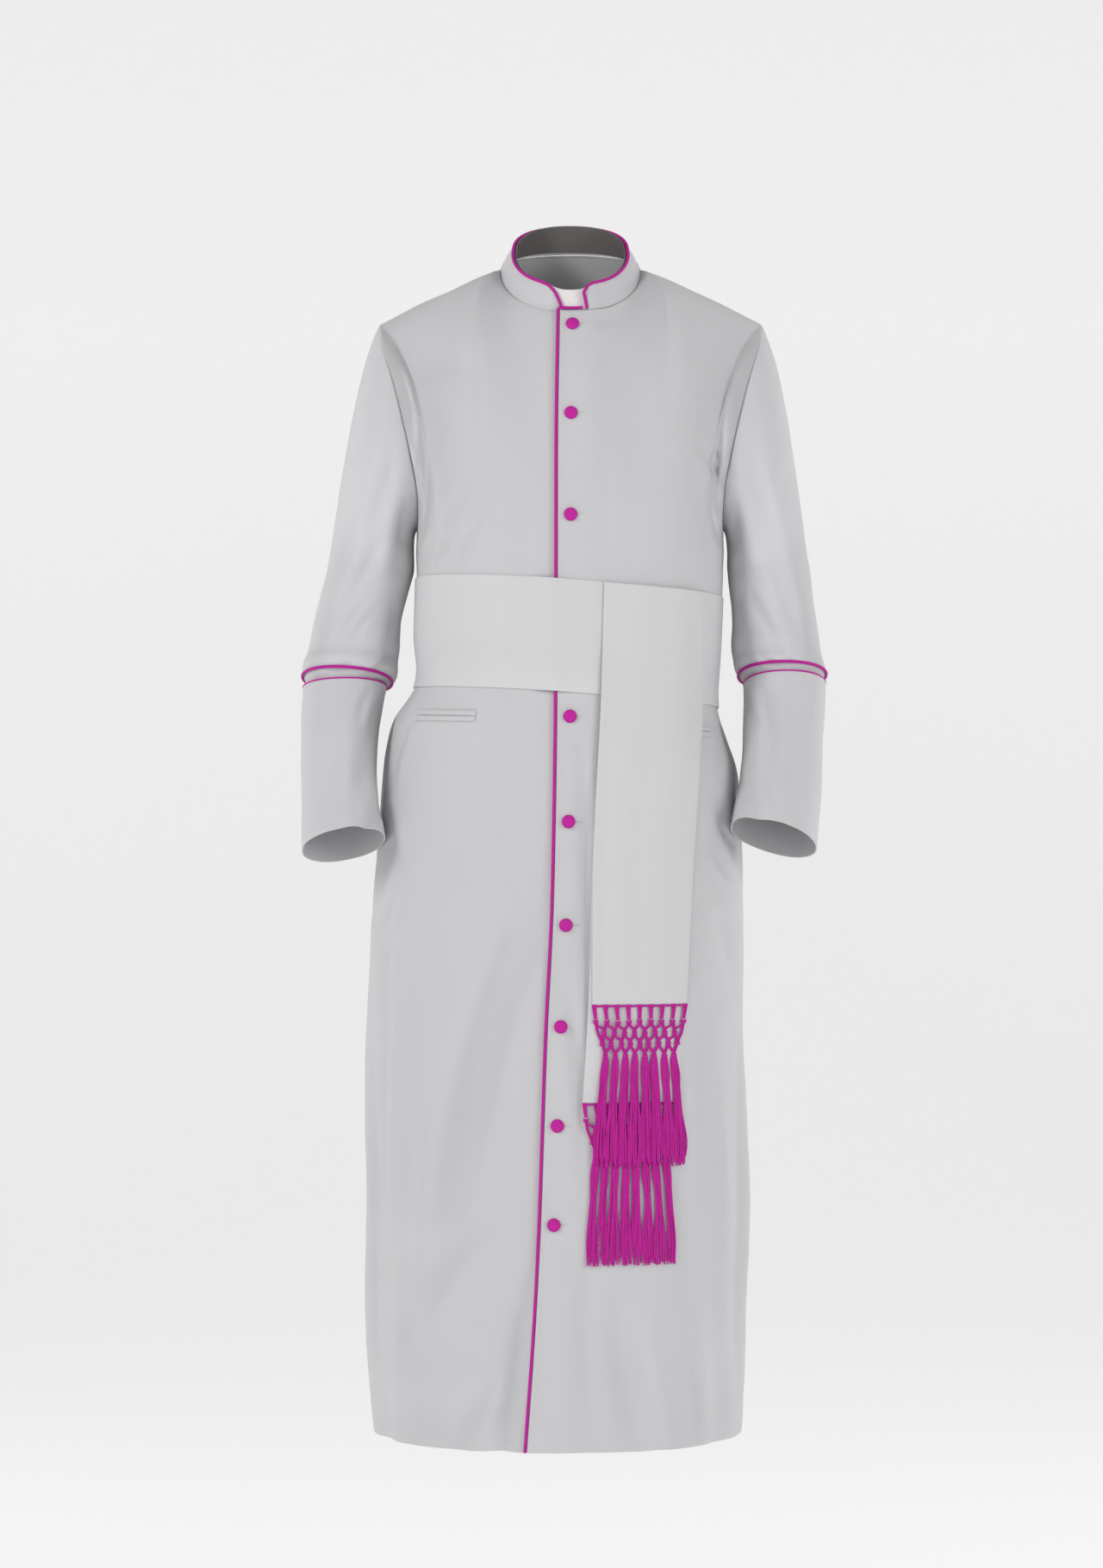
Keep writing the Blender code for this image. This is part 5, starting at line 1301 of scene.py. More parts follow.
def panel_grid(levels, stations, lapped, seam_first, seam_last):
    """The grid of a panel, with its seams drawn in and its hem turned up."""
    level_grid = np.broadcast_to(levels[:, None], stations.shape)
    points, normals = robe_surface(stations, level_grid, 0.0, lapped)
    from_top = run_lengths(points[::-1], 0)[::-1]
    dip = SEAM_DIP * np.exp(-(from_top / SEAM_SPREAD) ** 2)
    from_start = run_lengths(points, 1)
    if seam_first:
        dip = np.maximum(dip, SEAM_DIP * np.exp(-(from_start / SEAM_SPREAD) ** 2))
    if seam_last:
        from_end = from_start[:, -1:] - from_start
        dip = np.maximum(dip, SEAM_DIP * np.exp(-(from_end / SEAM_SPREAD) ** 2))
    height = points[..., 2]
    hem = HEM_STEP * ease((HEM + HEM_FOLD - height) / HEM_EDGE)
    dip = dip - hem
    return points - normals * dip[..., None]


def make_body():
    """The two fronts and the back, each a grid of stations through its anchor stations."""
    levels = level_rows()

    def constant(value):
        return np.full(len(levels), value)

    edge = edge_station(levels)
    lap_end = edge_station(levels, LAP + LAP_FADE)
    under = edge_station(levels, LAP - 0.001)
    inset = constant(SIDE_INSET)
    left = columns_through([edge, lap_end, constant(NECK_STATION), constant(TIP_STATION),
                            90.0 - inset], [0.062, 0.050, 0.105, 0.125], False, True)
    right = columns_through([under, constant(-NECK_STATION), constant(-TIP_STATION),
                             -90.0 + inset], [0.125, 0.115, 0.135], False, True)
    back = columns_through([90.0 + inset, constant(180.0 - TIP_STATION),
                            constant(180.0 - NECK_STATION), constant(180.0 + NECK_STATION),
                            constant(180.0 + TIP_STATION), 270.0 - inset],
                           [0.125, 0.105, 0.235, 0.105, 0.125], True, True, BACK_STEP)
    for name, stations, lapped, first, last in (("front_left", left, True, False, True),
                                                ("front_right", right, False, False, True),
                                                ("back", back, False, True, True)):
        grid = panel_grid(levels, stations, lapped, first, last)
        shell(f"robe_{name}", grid, SHELL, ROBE_CLOTH, [name], axis=(0.0, 0.0))


make_body()


# Sleeves and cuffs


def arm_ring(table, side, height, angle, grow=0.0):
    """Points of a sleeve's or cuff's ring: angle 0 outside, 90 front, 180 inside."""
    row = np.moveaxis(table(height), -1, 0)
    across, forward, half_width, half_depth, outer_lift, front_lift = row
    sine = np.sin(np.radians(angle))
    cosine = np.cos(np.radians(angle))
    radius = superellipse(cosine, sine, half_width + grow, half_depth + grow, SLEEVE_SQUARENESS)
    z = height + outer_lift * radius * cosine / half_width + front_lift * radius * sine / half_depth
    return stack(side * (across + radius * cosine), forward - radius * sine, z)


def armhole_station(side, angle):
    """Stations of the body's top edge where the sleeve's angles meet it."""
    reach = TIP_STATION + (90.0 - TIP_STATION) * (1 - np.abs(180.0 - angle) / 180.0)
    return np.where(angle <= 180.0, reach, 180.0 - reach) * side


def armhole_frame(side, angle):
    """Where the sleeve starts: points and the way that the cloth leaves the seam."""
    ahead, _ = top_edge(armhole_station(side, (angle + 1.0) % 360.0))
    behind, _ = top_edge(armhole_station(side, (angle - 1.0) % 360.0))
    station = armhole_station(side, angle)
    point, _ = robe_surface(station, np.full(station.shape, 2.0), -SEAM_DIP, False)
    along = unit(ahead - behind)
    body_out = body_normal(station, np.full(station.shape, 2.0))
    in_surface = np.cross(along, body_out)
    in_surface = np.where(in_surface[..., :1] * side < 0, -in_surface, in_surface)
    outward = np.array(UNDER_ARM_WAY) * (side, 1, 1)
    share = ease((np.abs(180.0 - angle) - 15.0) / 55.0)[..., None]
    way = unit(in_surface * share + outward * (1 - share))
    return point, unit(way - along * np.sum(way * along, axis=-1, keepdims=True))


def arm_relief(points, normals, side, front_rows, back_rows, seed):
    """Creases of a sleeve or cuff, drawn on its front and back."""
    drawn = points[..., [0, 2]] * (side, 1.0)
    front = ease((-normals[..., 1] + 0.25) / 0.5)
    back = ease((normals[..., 1] + 0.15) / 0.5)
    relief = crease_shift(drawn, front_rows) * front
    relief += crease_shift(drawn, back_rows) * back
    return relief + waves(points, seed, *ARM_WAVES)


def ring_normals(points):
    """Outward normals of a grid of closed rings."""
    normals = grid_normals(points, True)
    if np.sum(normals * (points - points.mean(axis=1, keepdims=True))) < 0:
        normals = -normals
    return normals


def sleeve_grid(rows, side):
    """The cap, from the armhole to the first ring, and the rings under it."""
    table = Smooth(rows)
    top = rows[0][0]
    columns = int(SLEEVE_GIRTH / STEP)
    angle = np.arange(columns) * 360.0 / columns
    shares = np.concatenate([NEAR_EDGE / CAP_LENGTH,
                             np.arange(NEAR_EDGE[-1] + STEP, CAP_LENGTH, STEP) / CAP_LENGTH])
    heights = np.arange(top, rows[-1][0], -STEP)
    point, way = armhole_frame(side, angle)
    start = point + way * SEAM_GAP
    end = arm_ring(table, side, np.full(columns, top), angle)
    pull = cap_leaving(angle) * (side, 1, 1)
    reach = np.linalg.norm(end - start, axis=-1, keepdims=True)
    arm = unit(np.array(ARM_DIRECTION)) * (side, 1, 1)
    cap = hermite(start[None], pull[None], end[None], (arm * reach)[None],
                  shares[:, None, None])
    points = np.concatenate([cap, arm_ring(table, side, heights[:, None], angle[None])])
    return points, ring_normals(points)


def make_sleeve(name, rows, side, seed):
    points, normals = sleeve_grid(rows, side)
    from_top = run_lengths(points, 0)
    relief = arm_relief(points, normals, side, SLEEVE_CREASES_FRONT[side],
                        SLEEVE_CREASES_BACK, seed)
    relief = relief * ease((from_top - 0.006) / 0.03)
    low = ease((points[..., 2] - rows[-2][0] - 0.006) / 0.012)
    relief = np.where(low < 1, np.minimum(relief, 0.0003) * (0.3 + 0.7 * low), relief)
    relief = relief - SEAM_DIP * np.exp(-(from_top / SEAM_SPREAD) ** 2)
    outer = points + normals * relief[..., None]
    shell(f"robe_{name}", outer, SHELL, ROBE_CLOTH, [name], closed=True)


def cuff_grid(rows, side):
    columns = int(CUFF_GIRTH / STEP)
    angle = np.arange(columns) * 360.0 / columns
    top = rows[0][0]
    foot = rows[-1][0]
    heights = np.concatenate([top - NEAR_EDGE, np.arange(top - NEAR_EDGE[-1] - STEP,
                                                         foot + STEP / 2, -STEP), [foot]])
    points = arm_ring(Smooth(rows), side, heights[:, None], angle[None])
    return points, ring_normals(points)


def make_cuff(name, rows, side, seed):
    points, normals = cuff_grid(rows, side)
    from_top = run_lengths(points, 0)
    relief = arm_relief(points, normals, side, CUFF_CREASES[side], [], seed)
    relief = relief * ease(from_top / 0.012) - 0.0003 * np.exp(-(from_top / 0.001) ** 2)
    outer = points + normals * relief[..., None]
    shell(f"robe_{name}", outer, SHELL, ROBE_CLOTH, [name], closed=True)


def make_arm_piping(name, rows, side, height, radius, lift):
    """A ring of piping round a sleeve, or along the top edge of a cuff."""
    angle = np.linspace(0, 360, 145)[:-1]
    path = arm_ring(Smooth(rows), side, np.full(angle.shape, height), angle, lift)
    item = tube(f"trim_{name}", path, radius, PIPING_SATIN, 12, True)
    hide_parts(name)


def make_arm(name, side, sleeve_rows, cuff_rows):
    """A sleeve, its deep cuff and the two pipings at the elbow."""
    make_sleeve(f"sleeve_{name}", sleeve_rows, side, 20 + side)
    make_cuff(f"cuff_{name}", cuff_rows, side, 30 + side)
    make_arm_piping(f"sleeve_piping_{name}", sleeve_rows, side, SLEEVE_PIPING_HEIGHTS[name],
                    PIPING, PIPING * 0.75)
    make_arm_piping(f"cuff_piping_{name}", cuff_rows, side, cuff_rows[0][0] + CUFF_PIPING_RISE,
                    FINE_PIPING, -SHELL / 2)


make_arm("left", 1, LEFT_SLEEVE, LEFT_CUFF)
make_arm("right", -1, RIGHT_SLEEVE, RIGHT_CUFF)


# Collar


def collar_top(turn):
    return neck_point(turn, COLLAR_TOP_SIDE, COLLAR_TOP_FRONT, COLLAR_TOP_BACK,
                      COLLAR_TOP_MIDDLE, COLLAR_TOP_HEIGHT, COLLAR_TOP_SLOPE_FRONT,
                      COLLAR_TOP_SLOPE_BACK)


def neck_station(turn):
    """Stations of the top edge whose place on the neckline has given turns."""
    turn = (np.asarray(turn, float) + 180.0) % 360.0 - 180.0
    at_back = np.abs(turn) > 90.0
    away = np.where(at_back, 180.0 - np.abs(turn), np.abs(turn)) / 90.0
    share = (1 + CORNER_SLOWING - np.sqrt((1 + CORNER_SLOWING) ** 2
                                          - 4 * CORNER_SLOWING * away)) / (2 * CORNER_SLOWING)
    station = share * NECK_STATION
    return np.where(at_back, 180.0 - station, station) * np.sign(turn)


def collar_point(turn, share, inwards=0.0, lapped=True):
    """Points of the collar: share 0 on the neckline, 1 at the full height."""
    turn, share = np.broadcast_arrays(np.asarray(turn, float), np.asarray(share, float))
    foot, _ = robe_surface(neck_station(turn), np.full(turn.shape, 2.0), -0.0004, lapped, False)
    rise = collar_top(turn) - neck_point(turn)
    along = neck_point(turn + 1.0) - neck_point(turn - 1.0)
    normal = unit(np.cross(along, rise))
    bulge = COLLAR_BULGE * np.sin(pi * np.clip(share, 0, 1))
    return foot + rise * share[..., None] - normal * (inwards - bulge)[..., None], normal


def neck_turn_at(x):
    """Turn of the neckline's front where it has a given x."""
    return float(np.degrees(np.sign(x) * np.arcsin((abs(x) / NECK_SIDE)
                                                   ** (NECK_SQUARENESS / 2))))


left_shape = Smooth(COLLAR_LEFT_SHAPE)
right_shape = Smooth(COLLAR_RIGHT_SHAPE)


def collar_share(turn):
    """Share of the full height that the collar has at turns from 0 to 360."""
    x = neck_point(turn)[..., 0]
    near_left = left_shape(x - COLLAR_LEFT_END)[..., 0]
    near_right = right_shape(COLLAR_RIGHT_END - x)[..., 0]
    return np.where(turn < 90, near_left, np.where(turn > 270, near_right, 1.0))


def collar_turns():
    steps = np.array([0.0, 0.0008, 0.0017, 0.0027, 0.0040, 0.0056, 0.0075, 0.0100, 0.0130,
                      0.0165, 0.0205, 0.0250, 0.0300, 0.0350])
    left = [neck_turn_at(COLLAR_LEFT_END + step) for step in steps]
    right = [360.0 + neck_turn_at(COLLAR_RIGHT_END - step) for step in steps[::-1]]
    count = int((right[0] - left[-1]) / COLLAR_TURN_STEP)
    return np.array(left + list(np.linspace(left[-1], right[0], count)[1:-1]) + right)


def make_collar():
    turns = collar_turns()
    near = NEAR_EDGE / COLLAR_HEIGHT
    rows = np.concatenate([near, np.linspace(near[-1], 1, 9)[1:]])
    share = rows[:, None] * collar_share(turns)[None]
    outer, normal = collar_point(turns[None], share)
    outer = outer + np.array([0, 0, SEAM_GAP])
    from_foot = run_lengths(outer, 0)
    relief = waves(outer, 61, *COLLAR_WAVES) * ease(from_foot / 0.006)
    relief -= 0.0004 * np.exp(-(from_foot / 0.0012) ** 2)
    outer = outer + normal * relief[..., None]
    shell("robe_collar", outer, COLLAR_SHELL, ROBE_CLOTH, ["collar"],
          axis=(0.0, -0.01))


def make_collar_band():
    start = neck_turn_at(TAB_HALF_WIDTH) + BAND_FROM_TAB
    turns = np.linspace(start, 360.0 - start, 110)
    shares = np.linspace(BAND_FOOT, BAND_RISE, 9)
    outer, _ = collar_point(turns[None], shares[:, None], BAND_DEPTH, False)
    shell("robe_collar_band", outer, THIN_WALL, BAND_CLOTH, ["collar_band"],
          axis=(0.0, -0.01))


def make_collar_tab():
    end = neck_turn_at(TAB_HALF_WIDTH)
    turns = np.linspace(-end, end, 41)
    off_centre = (turns / end) ** 2
    top = TAB_TOP_MIDDLE + (TAB_TOP_ENDS - TAB_TOP_MIDDLE) * off_centre
    foot = TAB_FOOT + (BAND_FOOT - TAB_FOOT) * off_centre
    rows = np.concatenate([[0.0, 0.012, 0.03], np.linspace(0.06, 0.94, 12), [0.97, 0.988, 1.0]])
    share = foot[None] + (top - foot)[None] * rows[:, None]
    edge = np.minimum(rows, 1 - rows)[:, None] * np.ones_like(turns)[None]
    inset = BAND_DEPTH + 0.0004 * np.exp(-(edge / 0.02) ** 2)
    outer, _ = collar_point(turns[None], share, inset, False)
    shell("robe_collar_tab", outer, THIN_WALL, TAB_PLASTIC, ["collar_tab"],
          axis=(0.0, 0.0))


make_collar()
make_collar_band()
make_collar_tab()


def make_front_piping():
    """Up the lapping edge, round the corner and along the notch to the collar's end."""
    levels = np.concatenate([np.linspace(0.0, 1.0, 150)[:-1],
                             np.linspace(1.0, PIPING_TOP_LEVEL, 60)])
    stations = edge_station(levels, -PIPING_FROM_EDGE)
    path, _ = robe_surface(stations, levels, PIPING_FROM_EDGE, False)
    path = list(path)
    path.append(path[-1] + unit(path[-1] - path[-6]) * PIPING_BEND)
    start = COLLAR_RIGHT_END + NOTCH_PIPING_START
    end = COLLAR_LEFT_END - NOTCH_PIPING_SHORT
    for x in np.linspace(start, end, 9):
        turn = neck_turn_at(x)
        foot, normal = collar_point(turn, 0.0)
        head, _ = collar_point(turn, 1.0)
        path.append(foot - normal * 0.001 + unit(head - foot) * PIPING_BEND)
    path = resample(path, 0.004)
    item = tube("trim_front_piping", path, PIPING, PIPING_SATIN, 10)
    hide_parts("front_piping")


def make_collar_piping():
    """Along the collar's ends and top edge."""
    turns = collar_turns()
    share = collar_share(turns)
    centres, normals = collar_point(turns, share, COLLAR_PIPING_DEPTH)
    ups = unit(collar_point(turns, 1.0)[0] - collar_point(turns, 0.0)[0])
    along = unit(np.gradient(centres, axis=0))
    away = np.cross(along, normals)
    away = unit(np.where(np.sum(away * ups, axis=-1, keepdims=True) < 0, -away, away))
    route = centres + away * PIPING + np.array([0, 0, SEAM_GAP])
    foot, _ = collar_point(turns[0], 0.0, COLLAR_PIPING_DEPTH)
    step = np.array([-(PIPING + SEAM_GAP), 0, 0])
    start = foot + step + np.array([0, 0, PIPING])
    path = np.concatenate([[start, (start + route[0] + step * COLLAR_PIPING_START) / 2,
                            route[0] + step * COLLAR_PIPING_LAST], route[2:]])
    item = tube("trim_collar_piping", resample(path, 0.0024), PIPING, PIPING_SATIN,
                12)
    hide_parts("collar_piping")


make_front_piping()
make_collar_piping()


# Buttons


def frame_matrix(point, normal, along=(0.0, 0.0, 1.0)):
    """A matrix whose Z is the normal and whose Y is nearest to along."""
    normal = Vector(normal).normalized()
    across = Vector(along).cross(normal).normalized()
    up = normal.cross(across)
    matrix = Matrix((across, up, normal)).transposed().to_4x4()
    matrix.translation = Vector(point)
    return matrix


def dome_parts(matrix, seed):
    """A covered button: the cloth is drawn over a dome and gathered round its foot."""
    random = np.random.default_rng(seed)
    profile = [(0.0, 1.0), (0.12, 0.992), (0.26, 0.965), (0.40, 0.918), (0.55, 0.845),
               (0.69, 0.745), (0.81, 0.62), (0.90, 0.49), (0.965, 0.35), (1.0, 0.21),
               (0.985, 0.10), (0.93, 0.03), (0.84, 0.0)]
    turns = 36
    angle = np.arange(turns) * 2 * pi / turns
    rings = []
    for radius, rise in profile[1:]:
        pucker = 0.012 * radius ** 4 * np.sin(angle * 11 + random.random() * 6)
        size = BUTTON_RADIUS * (radius + pucker * (rise < 0.7))
        rings.append(np.stack([size * np.cos(angle), size * np.sin(angle),
                               np.full(turns, rise * BUTTON_THICKNESS)], axis=-1))
    points = np.concatenate([[[0, 0, BUTTON_THICKNESS]], np.concatenate(rings), [[0, 0, 0.0]]])
    faces = [[0, 1 + index, 1 + (index + 1) % turns] for index in range(turns)]
    for ring in range(len(rings) - 1):
        low = 1 + ring * turns
        for index in range(turns):
            following = (index + 1) % turns
            faces.append([low + index, low + turns + index, low + turns + following,
                          low + following])
    last = 1 + (len(rings) - 1) * turns
    faces += [[last + (index + 1) % turns, last + index, len(points) - 1]
              for index in range(turns)]
    uv = np.concatenate([points[face, :2] for face in faces])
    turned = np.array(matrix)[:3, :3]
    return points @ turned.T + np.array(matrix)[:3, 3], faces, uv


def make_buttons():
    for number, height in enumerate(BUTTON_HEIGHTS, start=1):
        level = float(front_level(height))
        station = station_at(edge_at(height) + BUTTON_FROM_EDGE, level)
        point, normal = robe_surface(station, level, 0.0004)
        matrix = frame_matrix(point, normal)
        points, faces, uv = dome_parts(matrix, number)
        item = make_object(f"trim_button_{number}", points, faces, BUTTON_SATIN, uv)
        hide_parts(f"button_{number}")


make_buttons()


# Sash


def sash_lift(station, level):
    """Gap between the body and the inside of the sash, with room for lap and piping."""
    point = body_point(station, level)
    from_edge = point[..., 0] - edge_at(point[..., 2])
    over = np.maximum(lap_lift(point[..., 0], point[..., 2]) + SASH_GAP,
                      SASH_CLEAR_OF_PIPING - SASH_SLOPE * np.maximum(from_edge, 0.0))
    share = ease(1 + (from_edge + PIPING_REACH) / SASH_EASE_REACH)
    under = SASH_GAP + (SASH_CLEAR_OF_PIPING - SASH_GAP) * share
    lift = np.where(from_edge >= -PIPING_REACH, over, under)
    return np.where(np.abs(station) > 90, SASH_GAP, lift)


def make_sash_band():
    stations = np.linspace(-180.0, 180.0, int(SASH_GIRTH / STEP) + 1)[:-1]
    heights = np.concatenate([[SASH_BOTTOM, SASH_BOTTOM + 0.0006, SASH_BOTTOM + 0.0016],
                              np.arange(SASH_BOTTOM + 0.004, SASH_TOP - 0.003, STEP),
                              [SASH_TOP - 0.0016, SASH_TOP - 0.0006, SASH_TOP]])
    levels = level_of(heights)
    station_grid, level_grid = np.meshgrid(stations, levels)
    points = body_point(station_grid, level_grid)
    normals = body_normal(station_grid, level_grid)
    lift = sash_lift(station_grid, level_grid) + THIN_WALL
    front = facing_front(normals)
    drawn = points[..., [0, 2]]
    relief = -crease_shift(drawn, SASH_CREASES, 1.0) * front
    back_rows = [(-row[0], row[1], -row[2], row[3] + 0.006, -row[4], row[5], *row[6:])
                 for row in SASH_CREASES[:5]]
    relief += -crease_shift(drawn, back_rows, 1.0) * (1 - front)
    relief += waves(points, 41, *SASH_WAVES)
    edge = np.minimum(heights - SASH_BOTTOM, SASH_TOP - heights)[:, None]
    relief = np.maximum(relief, -0.0006) * ease(edge / 0.008) - 0.0005 * np.exp(-(edge / 0.001))
    under_tail = between(points[..., 0], *BAND_UNDER_TAIL) * front
    relief = np.where(relief > 0, relief * (1 - under_tail), relief)
    outer = points + normals * (lift + relief)[..., None]
    shell("sash_band_cloth", outer, SASH_SHELL, SASH_CLOTH, ["sash_band"],
          closed=True)


def make_tail(name, node, rows, heights, lifts, seed, top_band):
    """A tail of the sash, with the hems of its two long edges pressed in."""
    edges = Smooth(rows)
    lift_at = Smooth(lifts)
    start, end = np.moveaxis(edges(heights), -1, 0)
    levels = level_of(heights)
    columns = 38
    near = np.array([0.0, 0.0007, 0.0018, 0.0035])
    width = float(np.mean(end - start))
    shares = np.concatenate([near / width, np.linspace(0.0062 / width, 1 - 0.0062 / width,
                                                       columns), 1 - near[::-1] / width])
    first = station_at(start, levels)
    last = station_at(end, levels)
    stations = first[:, None] * (1 - shares) + last[:, None] * shares
    level_grid = np.broadcast_to(levels[:, None], stations.shape)
    lift = lift_at(heights)[..., 0][:, None] + THIN_WALL
    points, normals = robe_surface(stations, level_grid, 0.0, True, False)
    edge = np.minimum(shares, 1 - shares)[None] * width
    across = shares[None] * width
    down = (heights[0] - heights)[:, None]
    relief = 0.0012 * ease(edge / 0.012) * (0.5 + 0.5 * np.sin(
        across * 2 * pi / 0.047 + seed + 0.9 * np.sin(down * 9.0 + seed)))
    relief = relief * ease(np.abs(down) / 0.03 + 0.25)
    relief += waves(points, seed, *TAIL_WAVES)
    relief = np.maximum(relief, -0.0004) - 0.0005 * np.exp(-(edge / 0.0009))
    relief -= 0.00035 * np.exp(-((edge - 0.0052) / 0.0009) ** 2)
    if top_band:
        fold = SASH_TOP - heights[:, None]
        relief = relief - 0.0004 * np.exp(-(fold / 0.001))
    outer = points + normals * (lift + relief)[..., None]
    shell(name, outer, TAIL_SHELL, SASH_CLOTH, [node], axis=(0.0, 0.0))


def make_tails():
    front = np.arange(FRONT_TAIL_FOOT, SASH_TOP + 1e-9, STEP)
    front = np.concatenate([front, [SASH_TOP - 0.0012, SASH_TOP - 0.0004, SASH_TOP]])
    front = np.unique(np.round(front, 6))
    rear = np.concatenate([np.arange(REAR_TAIL_FOOT, REAR_TAIL_TOP, STEP), [REAR_TAIL_TOP]])
    make_tail("sash_tail_front_cloth", "sash_tail_front", FRONT_TAIL_EDGES, front,
              FRONT_TAIL_LIFT, 3, True)
    make_tail("sash_tail_rear_cloth", "sash_tail_rear", REAR_TAIL_EDGES, rear,
              REAR_TAIL_LIFT, 7, False)


make_sash_band()
make_tails()


# Fringe


def knot_parts(place, across, down, size, seed):
    """A small tied knot: two crossing loops of cord round the ones that pass through."""
    random = np.random.default_rng(seed)
    parts = []
    for lean in (0.5, -0.5):
        turn = np.linspace(0, 2 * pi, 15)[:-1]
        tilt = lean + 0.25 * (random.random() - 0.5)
        x = across + size * (np.cos(turn) * np.cos(tilt))
        z = down + size * (np.cos(turn) * np.sin(tilt)) * 0.9
        out = 0.9 + 1.35 * np.sin(turn)
        path = place(x, z, out)
        parts.append(tube_parts(path, KNOT_CORD, 6, True))
    return parts


def cord(place, points, radius, sides=6, step=0.004):
    """A cord through places of the net, which are across, down and out in millimetres."""
    points = np.asarray(points, float)
    count = max(3, int(np.linalg.norm(np.diff(points, axis=0), axis=1).sum() / (step * 1000)))
    dense = Smooth([(index, *point) for index, point in enumerate(points)])(
        np.linspace(0, len(points) - 1, count + 1))
    return tube_parts(place(dense[:, 0], dense[:, 1], dense[:, 2]), radius, sides)


class NetPlane:
    """Places on the plane of a net, read between the points of a grid laid on the robe."""

    def __init__(self, edges_table, top, lift):
        start, end = (float(value) for value in Smooth(edges_table)(top))
        level = level_of(top)
        first = body_point(station_at(start, level), level)
        last = body_point(station_at(end, level), level)
        self.width = float(np.linalg.norm(last - first)) * 1000
        squeeze = (end - start) / self.width * 1000
        self.across = np.linspace(-0.75 * self.width, 0.75 * self.width, 41)
        self.down = np.linspace(-4.0, FRINGE_LENGTH + 4.0, 67)
        levels = level_of(top - SEAM_GAP - self.down / 1000)[:, None]
        stations = station_at((start + end) / 2 + self.across[None] / 1000 * squeeze, levels)
        points, normals = robe_surface(stations, levels, lift + 0.0005, True, False)
        self.spots = np.concatenate([points, normals], axis=-1)

    def __call__(self, across, down, out):
        across, down, out = np.broadcast_arrays(across, down, out)
        column = (across - self.across[0]) / (self.across[1] - self.across[0])
        row = (down - self.down[0]) / (self.down[1] - self.down[0])
        column = np.clip(column, 0, len(self.across) - 1.001)
        row = np.clip(row, 0, len(self.down) - 1.001)
        left = column.astype(int)
        low = row.astype(int)
        column = (column - left)[..., None]
        row = (row - low)[..., None]
        spots = self.spots
        spot = ((spots[low, left] * (1 - column) + spots[low, left + 1] * column) * (1 - row)
                + (spots[low + 1, left] * (1 - column)
                   + spots[low + 1, left + 1] * column) * row)
        return spot[..., :3] + spot[..., 3:] * (out / 1000)[..., None]


def heading_parts(place, first_row, pitch):
    """The strip at the tail's foot, and three cords from it down to each knot."""
    half = place.width / 2
    parts = []
    for out in (0.2, 1.0):
        strip = [(x, 1.4 + 0.15 * np.sin(x), out) for x in np.linspace(-half, half, 30)]
        parts.append(cord(place, strip, STRIP_CORD))
    for index, (across, down) in enumerate(first_row):
        head = -half + KNOT_HALF_WIDTH + index * pitch
        for step in (-1.5, 0.0, 1.5):
            parts.append(cord(place, [(head + step * 1.5, -0.6, 0.4),
                                      (head + step * 1.05, 6.0, 0.6 + 0.4 * (step == 0)),
                                      (across + step * 0.7, down - 3.0, 0.9)], HEAD_CORD))
    return parts


def net_parts(place, centres):
    """Pairs of cords that bow from each knot to the knots beside it in the row below."""
    parts = []
    for upper, lower in zip(centres, centres[1:]):
        outset = len(lower) > len(upper)
        for index, (across, down) in enumerate(upper):
            for away in (0, 1):
                other = index + away - (0 if outset else 1)
                if not 0 <= other < len(lower):
                    continue
                to_across, to_down = lower[other]
                bow = 1.7 if away else -1.7
                for step in (-1.0, 1.0):
                    parts.append(cord(place, [(across + step * 0.8, down + 1.2, 0.8),
                                              (across + bow + step, down + 4.5, 0.7),
                                              (to_across - bow * 0.6 + step, to_down - 5.0, 0.7),
                                              (to_across + step * 0.8, to_down - 1.2, 0.8)],
                                      NET_CORD, step=0.003))
    return parts


def side_parts(place, centres):
    """Pairs of cords down the net's two sides, past the row that has no knot there."""
    parts = []
    for end_index in (0, -1):
        across, down = centres[0][end_index]
        to_across, to_down = centres[2][end_index]
        bow = -1.5 if end_index == 0 else 1.5
        for step in (-0.9, 0.9):
            parts.append(cord(place, [(across + step, down + 1, 0.6),
                                      ((across + to_across) / 2 + bow + step,
                                       (down + to_down) / 2, 0.6),
                                      (to_across + step, to_down - 1, 0.6)], SIDE_CORD))
    return parts


def bundle_parts(place, last_row, pitch, spread, random):
    """The loose strands that hang in a bundle from each knot of the last row."""
    last_share = KNOT_ROWS[-1][2]
    bundle = pitch * spread * 1.14
    limit = place.width / 2 * spread / 0.93 + 2.5
    parts = []
    for across, down in last_row:
        low_centre = across / last_share * NET_SPREAD
        for strand in range(STRANDS):
            place_in = (strand + 0.5) / STRANDS - 0.5
            layer = strand % 3
            length = FRINGE_LENGTH * (1 - STRAND_UNEVENNESS * random.random() ** 1.5)
            sway = random.normal() * 1.1
            low = float(np.clip(low_centre + place_in * bundle + sway, -limit, limit))
            wave = random.normal() * 0.9
            kink = random.normal() * 0.8
            points = [
                (across + place_in * 5.5, down + 1.5, 0.3 + 0.5 * layer),
                (across + place_in * 7.5, down + 7.0, 0.3 + 0.6 * layer),
                (across * 0.75 + low_centre * 0.25 + place_in * 9.0 + wave * 0.3, down + 24,
                 0.4 + 0.6 * layer),
                (across * 0.4 + low * 0.6 + kink, down + 54, 0.5 + 0.6 * layer),
                (low + wave * 0.6, down + 98, 0.4 + 0.6 * layer),
                (low + random.normal() * 0.5, length, 0.3 + 0.5 * layer),
            ]
            radius = STRAND_CORD * (1 + 0.14 * random.normal())
            parts.append(cord(place, points, max(radius, THINNEST_STRAND), 5, 0.0055))
    return parts


